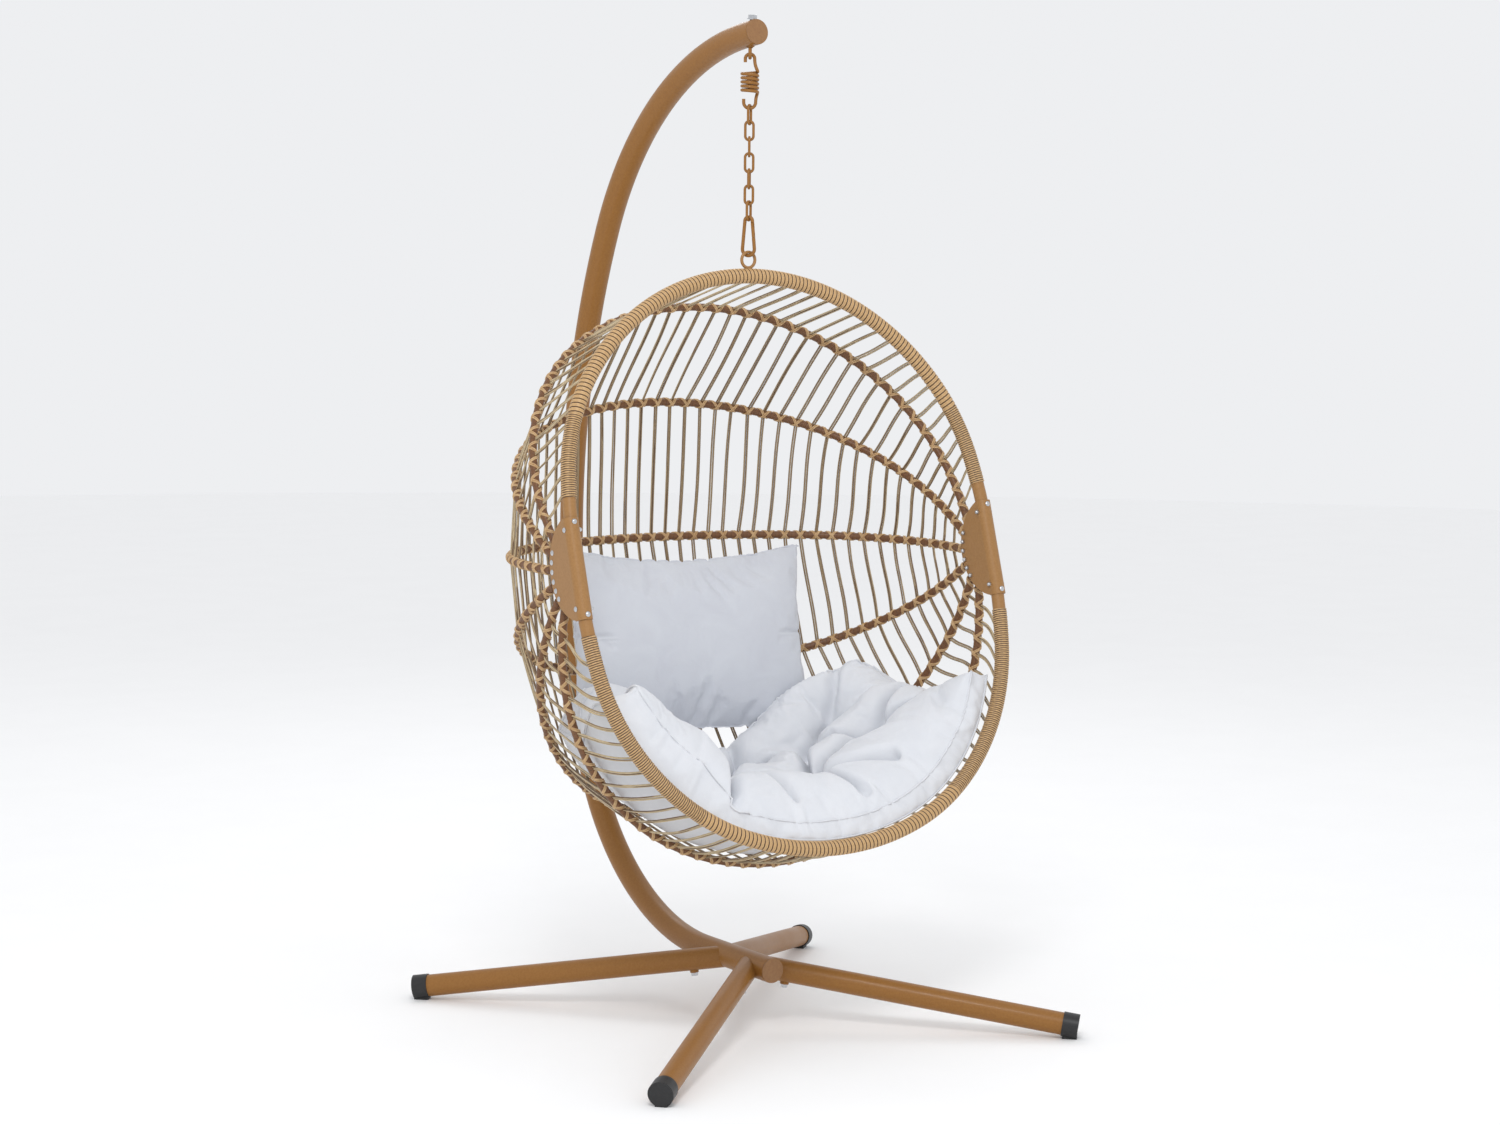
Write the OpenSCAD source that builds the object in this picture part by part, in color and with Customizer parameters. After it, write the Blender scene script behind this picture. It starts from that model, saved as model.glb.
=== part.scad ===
// Hanging egg chair: a bent-tube stand on four legs carries a woven egg-shaped
// basket on an eye bolt, an extension spring, a seven-link chain and a snap hook.
// Millimetres, +Z up, floor at Z = 0, the open side of the basket faces -Y.

/* [Stand] */
// Pole tube outer diameter
pole_d = 48; // [38:0.5:60]
// Pole tube wall
pole_wall = 2; // [1.2:0.1:4]
// Height of the pole's lower run above the floor
pole_low_z = 116; // [80:1:160]
// Length of the straight lower run
pole_low_run = 236; // [150:1:300]
// Radius of the lower bend
pole_r_low = 495; // [350:1:650]
// Radius of the long back bend
pole_r_back = 1461; // [1000:1:2200]
// Radius of the upper bend
pole_r_top = 640; // [450:1:800]
// Sweep of the lower bend in degrees
pole_a_low = 73.1; // [60:0.1:85]
// Sweep of the long back bend in degrees
pole_a_back = 42.6; // [30:0.1:55]
// Sweep of the upper bend in degrees
pole_a_top = 57.8; // [45:0.1:70]
// Straight run at the top end
pole_top_run = 42; // [30:1:80]
// Overhang of the pole in front of the front legs
pole_nose = 74; // [50:1:110]
// Length of the hidden spigot between the two pole tubes
pole_spigot = 90; // [60:1:150]

/* [Legs] */
// Leg tube outer diameter
leg_d = 43; // [32:0.5:50]
// Leg tube wall
leg_wall = 1.5; // [1:0.1:3]
// Angle between a leg and the pole, in plan
leg_plan = 47.4; // [35:0.1:60]
// Plan distance from the cross to the leg end
leg_reach = 628; // [500:1:750]
// Height where the leg axes cross
leg_cross_z = 114.4; // [80:0.1:150]
// Distance between the front and the rear cross
leg_pitch = 82; // [60:1:120]
// Length of the welded socket from the cross
socket_len = 105; // [90:1:140]
// Length of the leg's reduced end inside the socket
spigot_len = 60; // [40:1:75]
// End cap outer diameter
cap_d = 47; // [44:0.1:52]
// End cap length over the tube
cap_len = 28; // [18:1:40]
// Leg screw thread diameter
leg_screw_d = 8; // [6:1:10]

/* [Hanger] */
// Position of the hanging axis behind the front leg cross
hang_back = 30; // [20:1:45]
// Height of the eye's centre
eye_z = 1851; // [1840:0.1:1860]
// Eye bolt shank diameter
eye_shank_d = 10; // [8:0.5:12]
// Diameter of the eye bolt's collar
eye_collar_d = 15; // [12:0.5:16]
// Diameter of the washer on top of the pole
eye_washer_d = 21; // [16:0.5:24]
// Eye wire diameter
eye_wire = 6.75; // [6:0.05:8]
// Radius of the eye's centre line
eye_r = 9.6; // [9:0.1:12]
// Gap kept between hanging parts
slack = 0.4; // [0.35:0.05:0.8]
// Spring wire diameter
spring_wire = 6.4; // [5:0.1:7]
// Radius of the coil's centre line
coil_r = 14.8; // [12:0.1:20]
// Rise of one turn of the coil
coil_pitch = 7.6; // [7:0.1:9]
// Number of turns
coil_turns = 5; // [3:1:12]
// Chain wire diameter
link_wire = 5; // [4:0.1:6]
// Chain link outer length
link_len = 40.4; // [36:0.1:46]
// Radius of the link's round ends, centre line
link_r = 7.7; // [7:0.1:9]
// Snap hook wire diameter
hook_wire = 6.6; // [6:0.1:8]
// Radius of the hook's upper bow, centre line
hook_r_top = 7.7; // [7:0.1:9]
// Radius of the hook's lower bow, centre line
hook_r_low = 12.4; // [11:0.1:16]
// Ring wire diameter
ring_wire = 6; // [5:0.1:8]
// Radius of the ring's centre line
ring_r = 14.75; // [13:0.05:18]
// Turn of the spring hooks about the hanging axis
spring_yaw = -33; // [-60:1:0]

/* [Rim] */
// Rim tube outer diameter
rim_d = 25; // [20:0.5:32]
// Rim tube wall
rim_wall = 1.5; // [1:0.1:3]
// Diameter over the rim's winding
rim_wrap_d = 28.2; // [26.5:0.1:32]
// Backward tilt of the rim plane
rim_tilt = 17.1; // [10:0.1:25]
// Height of the rim tube's centre at the top
rim_top_z = 1433; // [1400:1:1460]
// Half of the span between the side brackets
rim_half = 463; // [420:1:500]
// Rise of the upper arch
rim_up = 547; // [480:1:600]
// Drop of the lower arch
rim_low = 545; // [480:1:600]
// Bare tube above the bracket
bare_up = 37; // [20:1:60]
// Bare tube below the bracket
bare_low = 30; // [20:1:60]

/* [Brackets] */
// Sheet thickness
plate = 2.5; // [1.5:0.1:4]
// Length of the bracket along the rim
plate_len = 186; // [150:1:220]
// Radius of the curved back edge
plate_r = 96.5; // [90:0.5:110]
// Centre of the curved back edge in front of the tube axis
plate_fore = 23.5; // [15:0.5:35]
// Radius of the circle of rib bolts
bolt_circle = 88.5; // [80:0.5:95]
// Angle between two rib bolts
bolt_step = 11.46; // [10:0.01:14]
// Rib bolt diameter
rib_bolt_d = 5; // [4:0.5:6]

/* [Ribs] */
// Rib rod diameter
rod_d = 10; // [8:0.5:14]
// Diameter over the rib's braid
braid_d = 18; // [14:0.5:24]
// Diameter of the cross bush at each rod end
bush_d = 11; // [10:0.5:13]
// Outward flare of the rib ends in degrees
flare = 9.2; // [4:0.1:14]
// Bare rod between the bolt and the braid
rib_bare = 22; // [16:1:35]
// Depths of the six ribs, top to bottom
rib_depth = [527, 498, 435, 468, 560, 527];
// Slopes of the six ribs, top to bottom
rib_slope = [56, 32, 1.5, -31, -61.5, -89];

/* [Strands] */
// Diameter of one strand pair
strand_d = 5.5; // [4:0.1:8]
// Strand pairs in one bay
strand_count = 44; // [30:1:60]
// Sideways shift of the pairs where they cross each bow, in pitches
strand_shift = [0.9, 0.1, -0.6, -0.7, -0.2, 0.4, 0.9, 0.2];
// Share of a bow's half length that its strands reach, and that share's share on the rim
strand_reach = 0.92;
rim_share = 0.935;

/* [Cushions] */
// Width of the back pillow
pillow_w = 550; // [480:1:620]
// Height of the back pillow
pillow_h = 370; // [320:1:450]
// How far the back pillow's sides bend forwards
pillow_bow = 30; // [0:1:80]
// Thickness of the back pillow
pillow_t = 108; // [70:1:150]
// Fullness of the seat cushion
seat_t = 104; // [70:1:150]
// Extra height of the border where the cushion folds up on the left
seat_fold = 78; // [0:1:90]
// Height of the seat cushion's boxed border
seat_band = 34; // [25:1:60]

/* [Hidden] */
$fn = 48;
pole_step = [[0, pole_low_run], [pole_r_low, pole_a_low], [pole_r_back, 90 - pole_a_low],
    [pole_r_back, pole_a_low + pole_a_back - 90], [pole_r_top, pole_a_top], [0, pole_top_run]];
pole_id = pole_d - 2 * pole_wall;
leg_end_z = 23;
leg_fall = atan((leg_cross_z - leg_end_z) / leg_reach);
leg_run = norm([leg_reach, leg_cross_z - leg_end_z]);
leg_id = leg_d - 2 * leg_wall;
socket_id = leg_d - 4;
spigot_d = socket_id - 0.2;
screw_at = 70;
leg_turn = [leg_plan + 180, 180 - leg_plan, -leg_plan, leg_plan];
leg_tip = (leg_run + 2) * cos(leg_fall) * cos(leg_plan)
    + cap_d / 2 * sqrt(1 - pow(cos(leg_fall) * cos(leg_plan), 2));
pole_reach = pole_low_run - pole_nose + pole_r_low * sin(pole_a_low)
    + pole_r_back * (1 - sin(pole_a_low)) + pole_d / 2;
front_y = (leg_tip - pole_reach) / 2;
hang_y = front_y + hang_back;
bolt_lean = -(pole_a_low + pole_a_back + pole_a_top - 180);
pole_under = 13.5;

hook_top_z = eye_z - eye_r + eye_wire / 2 + slack + spring_wire;
hook_c_z = hook_top_z - spring_wire / 2 - 8.8;
coil_top_z = 1815.5;
coil_low_z = coil_top_z - coil_turns * coil_pitch;
low_hook_r = 11.3;
low_hook_z = 1744;
link_pitch = link_len - 2 * link_wire - slack;
link_top = low_hook_z + spring_wire + slack + link_wire;
link_yaw = [37, -33, 57, -33, 48, -40, 30];
hook_up_z = link_top - 6 * link_pitch - link_len + link_wire + slack + hook_wire / 2 - hook_r_top;
hook_low_z = 1471.3 + hook_r_low;
hook_drop = hook_up_z - hook_low_z;
hook_taper = asin((hook_r_low - hook_r_top) / hook_drop);
hook_side = hook_drop * cos(hook_taper);
hook_yaw = -58;
nose_run = 20;
gate_drop = hook_side - nose_run - 7;
ring_z = hook_low_z - hook_r_low + hook_wire / 2 + ring_wire / 2 + 0.45 - ring_r;

rim_turn = [cos(90 - rim_tilt), sin(90 - rim_tilt)];
side_y = hang_y - rim_up * rim_turn[0];
side_z = rim_top_z - rim_up * rim_turn[1];
rim_r1 = 900;
rim_s1 = 9;
up_s2 = 24;
low_s2 = 61;
up_run = 38;
low_run = 50;
up_pair = end_radii(rim_half, rim_up, 0, up_run, rim_r1, rim_s1, up_s2);
low_pair = end_radii(rim_half, rim_low, 0, low_run, rim_r1, rim_s1, low_s2);
up_bare = (plate_len / 2 + bare_up - up_run) / rim_r1 * 180 / PI;
low_bare = (plate_len / 2 + bare_low - low_run) / rim_r1 * 180 / PI;
up_step = rim_steps(up_run, up_bare, up_s2, up_pair);
low_step = rim_steps(low_run, low_bare, low_s2, low_pair);

rib_r1 = 534;
rib_s1 = 11.3;
rib_s2 = 59.5;
rib_a0 = rib_bare / rib_r1 * 180 / PI;
rib_at = [for (i = [0:5]) plate_point((2.5 - i) * bolt_step)];
arches = concat([rim_arch(up_pair, up_s2, rim_up, 90 - rim_tilt)], [for (i = [0:5]) rib_arch(i)],
    [rim_arch(low_pair, low_s2, rim_low, -90 - rim_tilt)]);
rope_r = [rim_wrap_d / 2, braid_d / 2, braid_d / 2, braid_d / 2, braid_d / 2, braid_d / 2, braid_d / 2,
    rim_wrap_d / 2];
sink = 1.2;
joint_gap = 0.1;
joint_len = 1.2;
joint_lip = 0.12;
// Places of a bracket's bolts along the rim.
tip_bolt = 84.5;
side_bolt = 72;

// Point inside the basket that the seat cushion's fullness rises towards.
focus = [0, hang_y - 110, 800];
// Seat cushion: the bay that its middle lies on, the rings and sides of its mesh, and its
// tufts as [bay, share of the bow].
seat_k = 5.72;
seat_rings = 13;
seat_sides = 44;
tufts = [[5.65, 0.46], [4.95, 0.4], [5.25, 0.27], [5.2, 0.06], [6.1, 0.12], [5.7, -0.16], [6.2, -0.28], [5.2, -0.3],
    [5.75, -0.48]];
// Back pillow: cells along a side of its mesh, the place of its middle, lean and roll.
pillow_n = 22;
pillow_x = -12;
pillow_back = 212;
pillow_z = 716;
pillow_lean = 14;
pillow_roll = -2;

// Solves the last two radii of an arch that starts at the side and ends level at
// the given depth, after a straight run and a first bend.
function end_radii(half, depth, out, run, r1, s1, s2) =
    let (h1 = out - s1)
    let (h2 = h1 - s2)
    let (x = half + run * sin(out) + r1 * (cos(h1) - cos(out)))
    let (d = run * cos(out) + r1 * (sin(out) - sin(h1)))
    let (a2 = cos(h2) - cos(h1))
    let (b2 = sin(h1) - sin(h2))
    let (a3 = -cos(h2))
    let (b3 = sin(h2) + 1)
    let (det = a2 * b3 - a3 * b2)
    [(-x * b3 - a3 * (depth - d)) / det, (a2 * (depth - d) + x * b2) / det];

// Steps of a rim arch: the first bend is split where the winding begins.
function rim_steps(run, bare, s2, pair) = [[0, run], [rim_r1, bare], [rim_r1, rim_s1 - bare],
    [pair[0], s2], [pair[1], 2 * (90 - rim_s1 - s2)], [pair[0], s2],
    [rim_r1, rim_s1 - bare], [rim_r1, bare], [0, run]];

// Point of the bolt circle seen from the side, as [y, z].
function plate_point(a) =
    let (back = bolt_circle * cos(a) - plate_fore)
    let (up = bolt_circle * sin(a))
    [side_y + back * cos(rim_tilt) + up * sin(rim_tilt), side_z - back * sin(rim_tilt) + up * cos(rim_tilt)];

// An arch as [radius, sweep] triples from its middle outwards, depth, slope and root.
function rim_arch(pair, s2, depth, slope) =
    [pair[1], 90 - rim_s1 - s2, pair[0], s2, rim_r1, rim_s1, depth, slope, side_y, side_z];
function rib_pair(i) = end_radii(rim_half, rib_depth[i], flare, 0, rib_r1, rib_s1, rib_s2);
function rib_arch(i) =
    let (p = rib_pair(i))
    [p[1], 90 + flare - rib_s1 - rib_s2, p[0], rib_s2, rib_r1, rib_s1, rib_depth[i], rib_slope[i],
        rib_at[i][0], rib_at[i][1]];
function arc_len(r, a) = r * a * PI / 180;
function half_len(a) = arc_len(a[0], a[1]) + arc_len(a[2], a[3]) + arc_len(a[4], a[5]);

// Point of an arch at a distance along it from its middle, as [across, depth].
function arch_flat(a, s) =
    let (l3 = arc_len(a[0], a[1]))
    let (l2 = arc_len(a[2], a[3]))
    let (t3 = min(s, l3) / a[0] * 180 / PI)
    let (t2 = t3 + min(max(s - l3, 0), l2) / a[2] * 180 / PI)
    let (t1 = t2 + max(s - l3 - l2, 0) / a[4] * 180 / PI)
    [a[0] * sin(t3) + a[2] * (sin(t2) - sin(t3)) + a[4] * (sin(t1) - sin(t2)),
        a[6] - a[0] * (1 - cos(t3)) - a[2] * (cos(t3) - cos(t2)) - a[4] * (cos(t2) - cos(t1))];

// The same point in space; f runs from -1 at the left end to 1 at the right end.
function arch_point(k, f) =
    let (a = arches[k])
    let (p = arch_flat(a, abs(f) * half_len(a)))
    [sign(f) * p[0], a[8] + p[1] * cos(a[7]), a[9] + p[1] * sin(a[7])];
function skin_point(k, f) =
    let (i = min(floor(k), 6))
    arch_point(i, f) * (1 - k + i) + arch_point(i + 1, f) * (k - i);
function arc_deg(l, r) = l / r * 180 / PI;
function unit(v) = v / norm(v);

// A round bar, or a pipe where a bore is given, laid along straight and bent steps
// [radius or 0, degrees or length]. It starts at the origin along +Y, bends to -X
// and draws steps i0 to i1. Hair-thin collars close the joints between the steps.
module bent_run(steps, i0, i1, outer, bore = 0, i = 0) {
    if (i < i1) {
        r = steps[i][0];
        a = steps[i][1];
        lead = i > i0 ? joint_gap : 0;
        cut = lead + (i < i1 - 1 ? joint_gap : 0);
        if (i > i0) rotate([-90, 0, 0]) linear_extrude(joint_len, center = true)
            section(outer + joint_lip, bore - joint_lip);
        if (i >= i0 && r == 0) translate([0, lead, 0]) rotate([-90, 0, 0]) linear_extrude(a - cut)
            section(outer, bore);
        if (i >= i0 && r > 0) translate([-r, 0, 0]) rotate([0, 0, arc_deg(lead, r)])
            rotate_extrude(angle = a - arc_deg(cut, r), $fn = 240) translate([r, 0]) section(outer, bore);
        if (r == 0) translate([0, a, 0]) bent_run(steps, i0, i1, outer, bore, i + 1);
        else translate([-r, 0, 0]) rotate([0, 0, a]) translate([r, 0, 0])
            bent_run(steps, i0, i1, outer, bore, i + 1);
    }
}

// Moves the children to the start of step k.
module at_step(steps, k, i = 0) {
    if (i == k) children();
    else if (steps[i][0] == 0) translate([0, steps[i][1], 0]) at_step(steps, k, i + 1) children();
    else translate([-steps[i][0], 0, 0]) rotate([0, 0, steps[i][1]]) translate([steps[i][0], 0, 0])
        at_step(steps, k, i + 1) children();
}

module section(outer, bore) {
    if (bore > 0) difference() {
        circle(d = outer);
        circle(d = bore);
    }
    else circle(d = outer);
}

// ---- stand -------------------------------------------------------------

module on_pole() {
    translate([0, front_y - pole_nose, pole_low_z]) rotate([0, 90, 0]) children();
}

module under_leg(i) {
    translate([0, front_y + (i > 1 ? leg_pitch : 0), 0]) rotate([0, 0, leg_turn[i]]) children();
}

module on_leg(i) {
    under_leg(i) translate([0, 0, leg_cross_z]) rotate([-90 - leg_fall, 0, 0]) children();
}

module pole_lower() {
    color("#a5784b") difference() {
        union() {
            on_pole() bent_run(pole_step, 0, 3, pole_d);
            for (i = [0:3]) on_leg(i) cylinder(h = socket_len, d = leg_d);
            for (i = [0:3]) on_leg(i) translate([0, leg_d / 2, screw_at]) rotate([90, 0, 0])
                cylinder(h = 8, d = 17, center = true);
        }
        on_pole() bent_run(pole_step, 0, 3, pole_id);
        for (i = [0:3]) on_leg(i) translate([0, 0, 42]) cylinder(h = socket_len, d = socket_id);
        for (i = [0:3]) on_leg(i) translate([0, leg_d / 2, screw_at]) rotate([90, 0, 0])
            cylinder(h = 12, d = leg_screw_d + 0.6, center = true);
    }
}

module pole_upper() {
    color("#a5784b") difference() {
        union() {
            on_pole() bent_run(pole_step, 3, 6, pole_d, pole_id);
            pole_neck();
        }
        eye_axis() cylinder(h = 80, d = eye_shank_d + 0.5, center = true);
        on_eye() translate([0, 0, pole_under - 6]) cylinder(h = 5.9, d = eye_collar_d + 0.6);
        on_eye() translate([0, 0, pole_under + pole_d + 0.1]) cylinder(h = 6, d = eye_washer_d + 0.6);
    }
}

// The sleeve that is welded into the upper tube and reaches down into the lower one.
module pole_neck() {
    turn = arc_deg(pole_spigot, pole_r_back);
    on_pole() at_step(pole_step, 3) {
        translate([-pole_r_back, 0, 0]) rotate([0, 0, -turn])
            rotate_extrude(angle = turn + arc_deg(9, pole_r_back), $fn = 240) translate([pole_r_back, 0])
            section(pole_id - 0.2, pole_id - 4);
        translate([0, 1, 0]) rotate([-90, 0, 0]) linear_extrude(6) section(pole_id + 2, pole_id - 2);
    }
}

module tube_plug() {
    cylinder(h = 3, d = pole_d - 1);
    translate([0, 0, -18]) cylinder(h = 18, d = pole_id - 0.1);
}

module pole_plug_low() {
    color("#8a6238") on_pole() rotate([90, 0, 0]) tube_plug();
}

module pole_plug_top() {
    color("#8a6238") difference() {
        on_pole() at_step(pole_step, 6) rotate([-90, 0, 0]) difference() {
            tube_plug();
            translate([0, 0, -22]) cylinder(h = 20, d = pole_id - 6);
        }
        eye_axis() cylinder(h = 80, d = eye_shank_d + 0.8, center = true);
    }
}

module leg(i) {
    color("#a5784b") on_leg(i) difference() {
        union() {
            translate([0, 0, socket_len]) cylinder(h = leg_run - socket_len - 2, d = leg_d);
            translate([0, 0, socket_len - spigot_len]) cylinder(h = spigot_len + 10, d = spigot_d);
        }
        translate([0, 0, socket_len + 10]) cylinder(h = leg_run, d = leg_id);
        translate([0, 0, socket_len - spigot_len - 1]) cylinder(h = spigot_len + 20, d = spigot_d - 3);
        translate([0, spigot_d / 2, screw_at]) rotate([90, 0, 0]) cylinder(h = 12, d = leg_screw_d, center = true);
    }
}

module leg_cap(i) {
    color("#1c1c1c") difference() {
        union() {
            on_leg(i) translate([0, 0, leg_run - cap_len]) cylinder(h = cap_len + 2, d = cap_d);
            under_leg(i) translate([-11, leg_reach - cap_len, 0]) cube([22, cap_len, 12]);
        }
        on_leg(i) translate([0, 0, leg_run - cap_len - 20]) cylinder(h = cap_len + 18, d = leg_d);
        translate([0, 0, -50]) cube([2000, 2000, 100], center = true);
    }
}

module stand_screws() {
    color("#c9ccd0") for (i = [0:3]) on_leg(i) translate([0, leg_d / 2 + 4, screw_at]) rotate([-90, 0, 0]) {
        translate([0, 0, -12]) cylinder(h = 12, d = leg_screw_d);
        cylinder(h = 1.2, d = 15);
        translate([0, 0, 1.2]) cylinder(h = 5.3, d = 14.2, $fn = 6);
    }
}

// ---- hanger ------------------------------------------------------------

module on_eye() {
    translate([0, hang_y, eye_z]) rotate([bolt_lean, 0, 0]) children();
}

module eye_axis() {
    on_eye() translate([0, 0, 37.5]) children();
}

module wire_loop(r, d) {
    rotate_extrude() translate([r, 0]) circle(d = d);
}

module eye_bolt() {
    color("#b9bdc2") translate([0, hang_y, eye_z]) {
        rotate([0, 0, spring_yaw + 90]) rotate([90, 0, 0]) wire_loop(eye_r, eye_wire);
        rotate([bolt_lean, 0, 0]) translate([0, 0, eye_r - 1]) cylinder(h = 71 - eye_r, d = eye_shank_d);
        rotate([bolt_lean, 0, 0]) translate([0, 0, pole_under - 2.6]) cylinder(h = 2.4, d = eye_collar_d);
    }
}

module eye_nut() {
    color("#c9ccd0") translate([0, hang_y, eye_z]) rotate([bolt_lean, 0, 0])
        translate([0, 0, pole_under + pole_d + 0.2]) difference() {
        union() {
            cylinder(h = 1.6, d = eye_washer_d);
            translate([0, 0, 1.6]) cylinder(h = 7, d = 18.6, $fn = 6);
        }
        translate([0, 0, -1]) cylinder(h = 12, d = eye_shank_d);
    }
}

// Ring of six points round a place on the spring's centre line.
function ring_at(p, t, side) =
    let (n = unit(side - t * (side * t)))
    let (b = cross(t, n))
    [for (j = [0:5]) p + (n * cos(60 * j) + b * sin(60 * j)) * spring_wire / 2];
function bez(a, b, c, d, t) = a * pow(1 - t, 3) + b * 3 * t * pow(1 - t, 2) + c * 3 * t * t * (1 - t) + d * pow(t, 3);
function coil_point(a) = [coil_r * cos(a), coil_r * sin(a), coil_top_z - coil_pitch * a / 360];
spring_path = concat(
    [[-8.8, 0, hook_c_z - spring_wire]],
    [for (a = [180:-22.5:0]) [8.8 * cos(a), 0, hook_c_z + 8.8 * sin(a)]],
    [for (t = [0.25:0.25:0.75]) bez([8.8, 0, hook_c_z], [8.8, 0, hook_c_z - 15], [14.8, -11, coil_top_z + 2.2],
        coil_point(0), t)],
    [for (a = [0:45:360 * coil_turns]) coil_point(a)],
    [for (t = [0.3:0.35:0.65]) bez(coil_point(360 * coil_turns), [14.8, 9, coil_low_z - 1.5],
        [low_hook_r, 0, low_hook_z + 25], [low_hook_r, 0, low_hook_z + spring_wire / 2 + low_hook_r], t)],
    [for (a = [0:-22.5:-180]) [low_hook_r * cos(a), 0, low_hook_z + spring_wire / 2 + low_hook_r * (1 + sin(a))]],
    [[-low_hook_r, 0, low_hook_z + spring_wire / 2 + low_hook_r + spring_wire]]);

module spring() {
    n = len(spring_path);
    dir = [for (i = [0:n - 1]) unit(spring_path[min(i + 1, n - 1)] - spring_path[max(i - 1, 0)])];
    pts = [for (i = [0:n - 1]) each ring_at(spring_path[i], dir[i], unit([-spring_path[i][0], -spring_path[i][1], 30]))];
    walls = [for (i = [0:n - 2]) for (j = [0:5]) each [
        [6 * i + j, 6 * i + (j + 1) % 6, 6 * i + 6 + (j + 1) % 6], [6 * i + j, 6 * i + 6 + (j + 1) % 6, 6 * i + 6 + j]]];
    ends = [for (j = [1:4]) each [[0, j + 1, j], [6 * n - 6, 6 * n - 6 + j, 6 * n - 5 + j]]];
    color("#b9bdc2") translate([0, hang_y, 0]) rotate([0, 0, spring_yaw]) polyhedron(pts, concat(walls, ends));
}

module chain_link(i) {
    straight = link_len - 2 * link_r - link_wire;
    color("#c0c3c7") translate([0, hang_y, link_top - (i - 1) * link_pitch - link_len / 2])
        rotate([0, 0, link_yaw[i - 1]]) rotate([90, 0, 0]) {
        for (a = [0, 180]) rotate([0, 0, a]) translate([0, straight / 2, 0]) rotate_extrude(angle = 180)
            translate([link_r, 0]) circle(d = link_wire);
        for (s = [-1, 1]) translate([s * link_r, 0, 0]) rotate([90, 0, 0])
            cylinder(h = straight, d = link_wire, center = true);
    }
}

// Local frame of the snap hook: X across, Y up, Z towards the viewer.
module on_hook() {
    translate([0, hang_y, 0]) rotate([0, 0, hook_yaw]) rotate([90, 0, 0]) children();
}

module on_gate() {
    on_hook() translate([hook_r_top * cos(hook_taper), hook_up_z + hook_r_top * sin(hook_taper), 0])
        rotate([0, 0, hook_taper]) translate([0, -7, 0]) children();
}

module snap_hook() {
    steps = [[0, 3], [hook_r_top, 180 - 2 * hook_taper], [0, hook_side], [hook_r_low, 180 + 2 * hook_taper],
        [0, nose_run]];
    color("#b0b4b9") difference() {
        union() {
            on_gate() translate([0, 4, 0]) bent_run(steps, 0, 5, hook_wire);
            on_gate() translate([-3, -3, -1.5]) cube([6, 8, 3]);
            on_nose() translate([-2.4, -2, -1.3]) cube([4.8, 8.5, 2.6]);
        }
        on_gate() cylinder(h = 10, d = 2.4, center = true);
    }
}

module on_nose() {
    on_gate() translate([0, -gate_drop, 0]) children();
}

module snap_gate() {
    color("#b0b4b9") on_gate() difference() {
        union() {
            translate([0, -4.5, 0]) rotate([90, 0, 0]) cylinder(h = gate_drop - 5.1, d = hook_wire);
            for (s = [-1, 1]) translate([0, 0, s * 2.45]) {
                cylinder(h = 1.3, d = 5, center = true);
                translate([-2.3, -8, -0.65]) cube([4.6, 8, 1.3]);
            }
        }
        translate([-5, -gate_drop - 1, -1.8]) cube([10, 9, 3.6]);
        cylinder(h = 10, d = 2.5, center = true);
    }
}

module gate_pin() {
    color("#9a9ea3") on_gate() {
        cylinder(h = 7, d = 2.4, center = true);
        for (s = [-1, 1]) translate([0, 0, s * 3.55]) cylinder(h = 0.8, d = 3.8, center = true);
    }
}

module hanging_ring() {
    color("#a5784b") difference() {
        union() {
            translate([0, hang_y, ring_z]) rotate([90, 0, 0]) wire_loop(ring_r, ring_wire);
            translate([-7, hang_y - 3, rim_top_z + 10.5]) cube([14, 6, 4]);
        }
        translate([0, hang_y, rim_top_z]) rotate([0, 90, 0]) cylinder(h = 60, d = rim_d + 0.1, center = true);
    }
}

// ---- rim ---------------------------------------------------------------

module on_rim(up) {
    translate([0, side_y, side_z]) rotate([up * 90 - rim_tilt, 0, 0]) translate([rim_half, 0, 0]) children();
}

module rim_upper() {
    color("#a5784b") on_rim(1) bent_run(up_step, 0, 9, rim_d, rim_d - 2 * rim_wall);
}

module rim_lower() {
    color("#a5784b") on_rim(-1) bent_run(low_step, 0, 9, rim_d, rim_d - 2 * rim_wall);
}

module rim_wrap_upper() {
    color("#c79a62") difference() {
        on_rim(1) bent_run(up_step, 2, 7, rim_wrap_d, rim_d);
        translate([-12, hang_y - 5, rim_top_z + 6]) cube([24, 10, 20]);
    }
}

module rim_wrap_lower() {
    color("#c79a62") on_rim(-1) bent_run(low_step, 2, 7, rim_wrap_d, rim_d);
}

// ---- brackets ----------------------------------------------------------

// Local frame of a bracket: X across, Y up the rim, Z forwards out of the rim plane.
module on_bracket(side) {
    translate([side * rim_half, side_y, side_z]) rotate([90 - rim_tilt, 0, 0]) children();
}

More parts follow.
